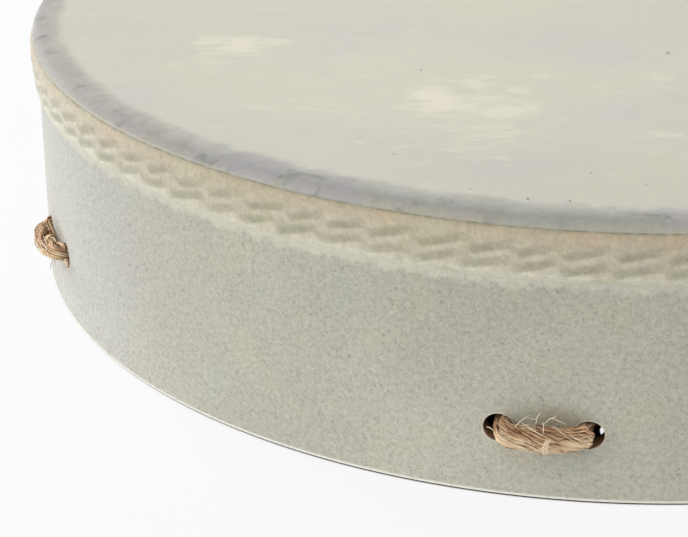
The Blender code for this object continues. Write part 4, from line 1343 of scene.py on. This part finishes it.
SIDE_STRANDS = (
    (0.42, 0.4, (-2, -0.5, 0.5), (3, 1, 0.5), (8.5, 3, 0.5), (13, 4.5, 0.5), (15.5, 5, 0.5), (14, 3, -0.5)),
    (0.42, 0.55, (0.5, 0, 1), (6, 2, 1.5), (13, 4.5, 1.5), (16, 5, 1), (14.5, 3.5, 0), (11.5, 1, -0.5)),
    (0.4, 0.45, (-2.5, 0.5, 1), (2, 1, 1), (7.5, 2, 1), (12, 3, 1), (12.5, 2.5, 0), (9, -0.5, -1)),
    (0.34, 0.75, (15.5, 0, 1), (15.5, -0.5, 0.5), (15.5, -1, 0), (15.5, -2, -0.5), (16, -2.5, -0.5)),
    (0.34, 0.85, (15.5, 0, 1), (16, -0.5, 0.5), (16.5, -1.5, 0), (16.5, -2, 0), (16.5, -3, -0.5)),
    (0.3, 0.6, (15, 0, 0), (15.5, -0.5, -0.5), (15.5, -1, -0.5), (16, -2, -0.5)),
    (0.3, 0.8, (15.5, 0, 0.5), (15.5, -0.5, 0), (16, -1, -0.5), (16, -2, -0.5)),
    (0.42, 0.4, (-13.5, 3.5, 0.5), (-10, 2.5, 0.5), (-6, 2, 0.5), (-2, 1.5, 0.5), (1.5, 1, 0.5)),
    (0.4, 0.5, (-13, 3.5, 1), (-9, 3, 1), (-5, 2.5, 1), (-1, 2, 1)),
    (0.36, 0.4, (-12.5, 3.5, 1.5), (-8.5, 3, 2), (-4.5, 3, 2), (-0.5, 2, 2)),
    (0.4, 0.45, (-13, 3.5, -3), (-13, 4, 0.5), (-11.5, 3.5, 1.5), (-8.5, 3, 2.5)),
    (0.36, 0.55, (-13.5, 3, -3), (-13.5, 3.5, 0.5), (-12, 3, 2), (-9, 3, 3)),
    (0.22, 1, (4, 3), (6, 2.5), (8.5, 2.5), (10.5, 2)),
    (0.2, 1, (3, 3.5), (4, 3.5, 3), (5.5, 3.5, 2), (9, 3.5, 2)),
    (0.18, 0.9, (2, 2.5), (3, 1.5), (5, 0.5), (8.5, 1)),
    (0.3, 0.75, (5.5, 3), (5, 3.5, 4.5), (6.5, 3.5), (9.5, 3.5)),
    (0.24, 0.8, (4.5, -1), (10, 0), (12, -0.5), (13.5, -0.5)),
    (0.2, -0.5, (5, 2.5), (7, 2), (10, 2)),
    (0.3, -0.5, (-4, 3.5, 3), (-1.5, 3.5, 2.5), (0, 3, 1.5)),
    (0.2, -0.5, (7, 3, 1.5), (11, 3, 1.5), (14, 1.5, 0)),
    (0.2, -0.5, (-11, 3.5, 2), (-7, 3.5, 3), (-4, 3.5, 3)),
    (0.24, 0.95, (9, -2, 1), (11.5, -2.5, 0.5), (13.5, -3, -0.5), (14, -3.5, -1)),
    (0.24, 0.95, (11, -2, 0.5), (13, -2.5, 0), (14, -3.5, -0.5), (14, -4, -0.5)),
    (0.22, 0.85, (12.5, -1.5, 0), (14, -2, -0.5), (15, -3, -1)),
    (0.22, 0.9, (10, -2.5, 0.5), (12, -3, 0), (13.5, -4, -0.5)),
    (0.22, 0.75, (12, -2, 0), (13.5, -2.5, 0), (15, -3.5, -1)),
    (0.09, 0, (10.5, -2), (11, -3, 4.5), (12, -4, 5), (12, -5.5, 5)),
    (0.08, 0.05, (12.5, -1), (12.5, -2.5, 3.5), (12.5, -3.5, 3.5)),
)


def stitch_face(plan, side, up):
    """How far from the drum's axis the rope's outer face is, at a place on a stitch."""
    bend_and_crown = np.array(plan[3:]).T
    share = np.linspace(0, bend_and_crown.shape[1] - 1, 200)
    across, out, lift, radius, tall = (np.interp(share, np.arange(len(row)), row) for row in bend_and_crown)
    across_step, out_step = np.gradient(across), np.gradient(out)
    run = np.hypot(across_step, out_step)
    reach = radius * np.sqrt(np.clip(1 - ((up - lift) / (radius * tall)) ** 2, 0, 1))
    face_across = across + reach * out_step / run
    face_out = out - reach * across_step / run
    return np.interp(abs(side), face_across[::-1], face_out[::-1])


def stitch_fibres(net, angle, lines):
    """Hairs and strands at one stitch. A place without an outward distance is on the rope's face."""
    outward, sideways, upward = station_frame(angle)
    plan = half_stitch(angle)
    for width, tone, *places in lines:
        points = []
        for side, up, *off in places:
            out = COVERING_RADIUS + off[0] * MM if off else stitch_face(plan, side * MM, up * MM) + STRAND_LIFT
            points.append(upward * (STATION_HEIGHT + up * MM) + sideways * side * MM + outward * float(out))
        add_hair(net, points, width * MM, tone)


def make_ropes():
    rope = straw_fibre("straw_rope", shade(244, 220, 184), shade(214, 176, 138), shade(152, 106, 72), shade(84, 50, 29))
    loose = loose_fibre()
    for name, side, seed, phase in (
        ("handle_rope_back", 1, 21, BACK_PHASE),
        ("handle_rope_front", -1, 34, FRONT_PHASE),
    ):
        rng = np.random.default_rng(seed)
        route = rope_route(side)
        net = Net()
        strands = lay_rope(net, route, ROPE_LAY, phase, 12, YARN_STEP, 1.0, rng)
        item = net.make(name + "_laid", rope)
        stand_for(item, name)
        hairs = Net()
        lay_fibres(hairs, strands, YARN_STEP, 0.0, 1.0, 500, rng)
        radial = np.hypot(strands[0][0][:, 0], strands[0][0][:, 1])
        outside = np.flatnonzero(radial > SHELL_RADIUS)
        split = outside[np.argmax(np.diff(outside)) + 1]
        for low, high in ((outside[0], outside[outside < split][-1]), (split, outside[-1])):
            lay_fibres(hairs, strands, YARN_STEP, (low - 6) / len(radial), (high - 2) / len(radial), 170, rng)
        scatter_hairs(hairs, route, 0.0060, 0.0080, 0.00009, rng)
        stations = [angle for key, angle in STATION_ANGLES.items() if key.endswith("back" if side > 0 else "front")]
        for angle in stations:
            scatter_hairs(hairs, stitch_route(angle)[4:-4], 0.0030, 0.0040, 0.00009, rng)
        if side > 0:
            stitch_fibres(hairs, STATION_ANGLES["left_back"], SIDE_STRANDS)
        else:
            stitch_fibres(hairs, STATION_ANGLES["left_front"], [(0.15, 0.9, *line) for line in FRONT_FIBRES])
            stitch_fibres(hairs, STATION_ANGLES["left_front"], FRONT_STRANDS)
        fuzz = hairs.make(name + "_fibres", loose)
        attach(fuzz, "root")


def make_binding():
    cord = straw_fibre("straw_cord", shade(214, 180, 134), shade(190, 148, 104), shade(136, 96, 62), shade(62, 38, 24))
    rng = np.random.default_rng(8)
    route = binding_route()
    net = Net()
    lay_rope(net, route, CORD_LAY, 0.0, 6, ROUTE_STEP, 0.4, rng)
    item = net.make("grip_binding_laid", cord)
    stand_for(item, "grip_binding")


make_camera()
make_studio()
make_head()
make_collar()
holes = hole_cutter()
make_shell(holes)
make_covering(holes)
bpy.data.objects.remove(holes)
make_ropes()
make_binding()
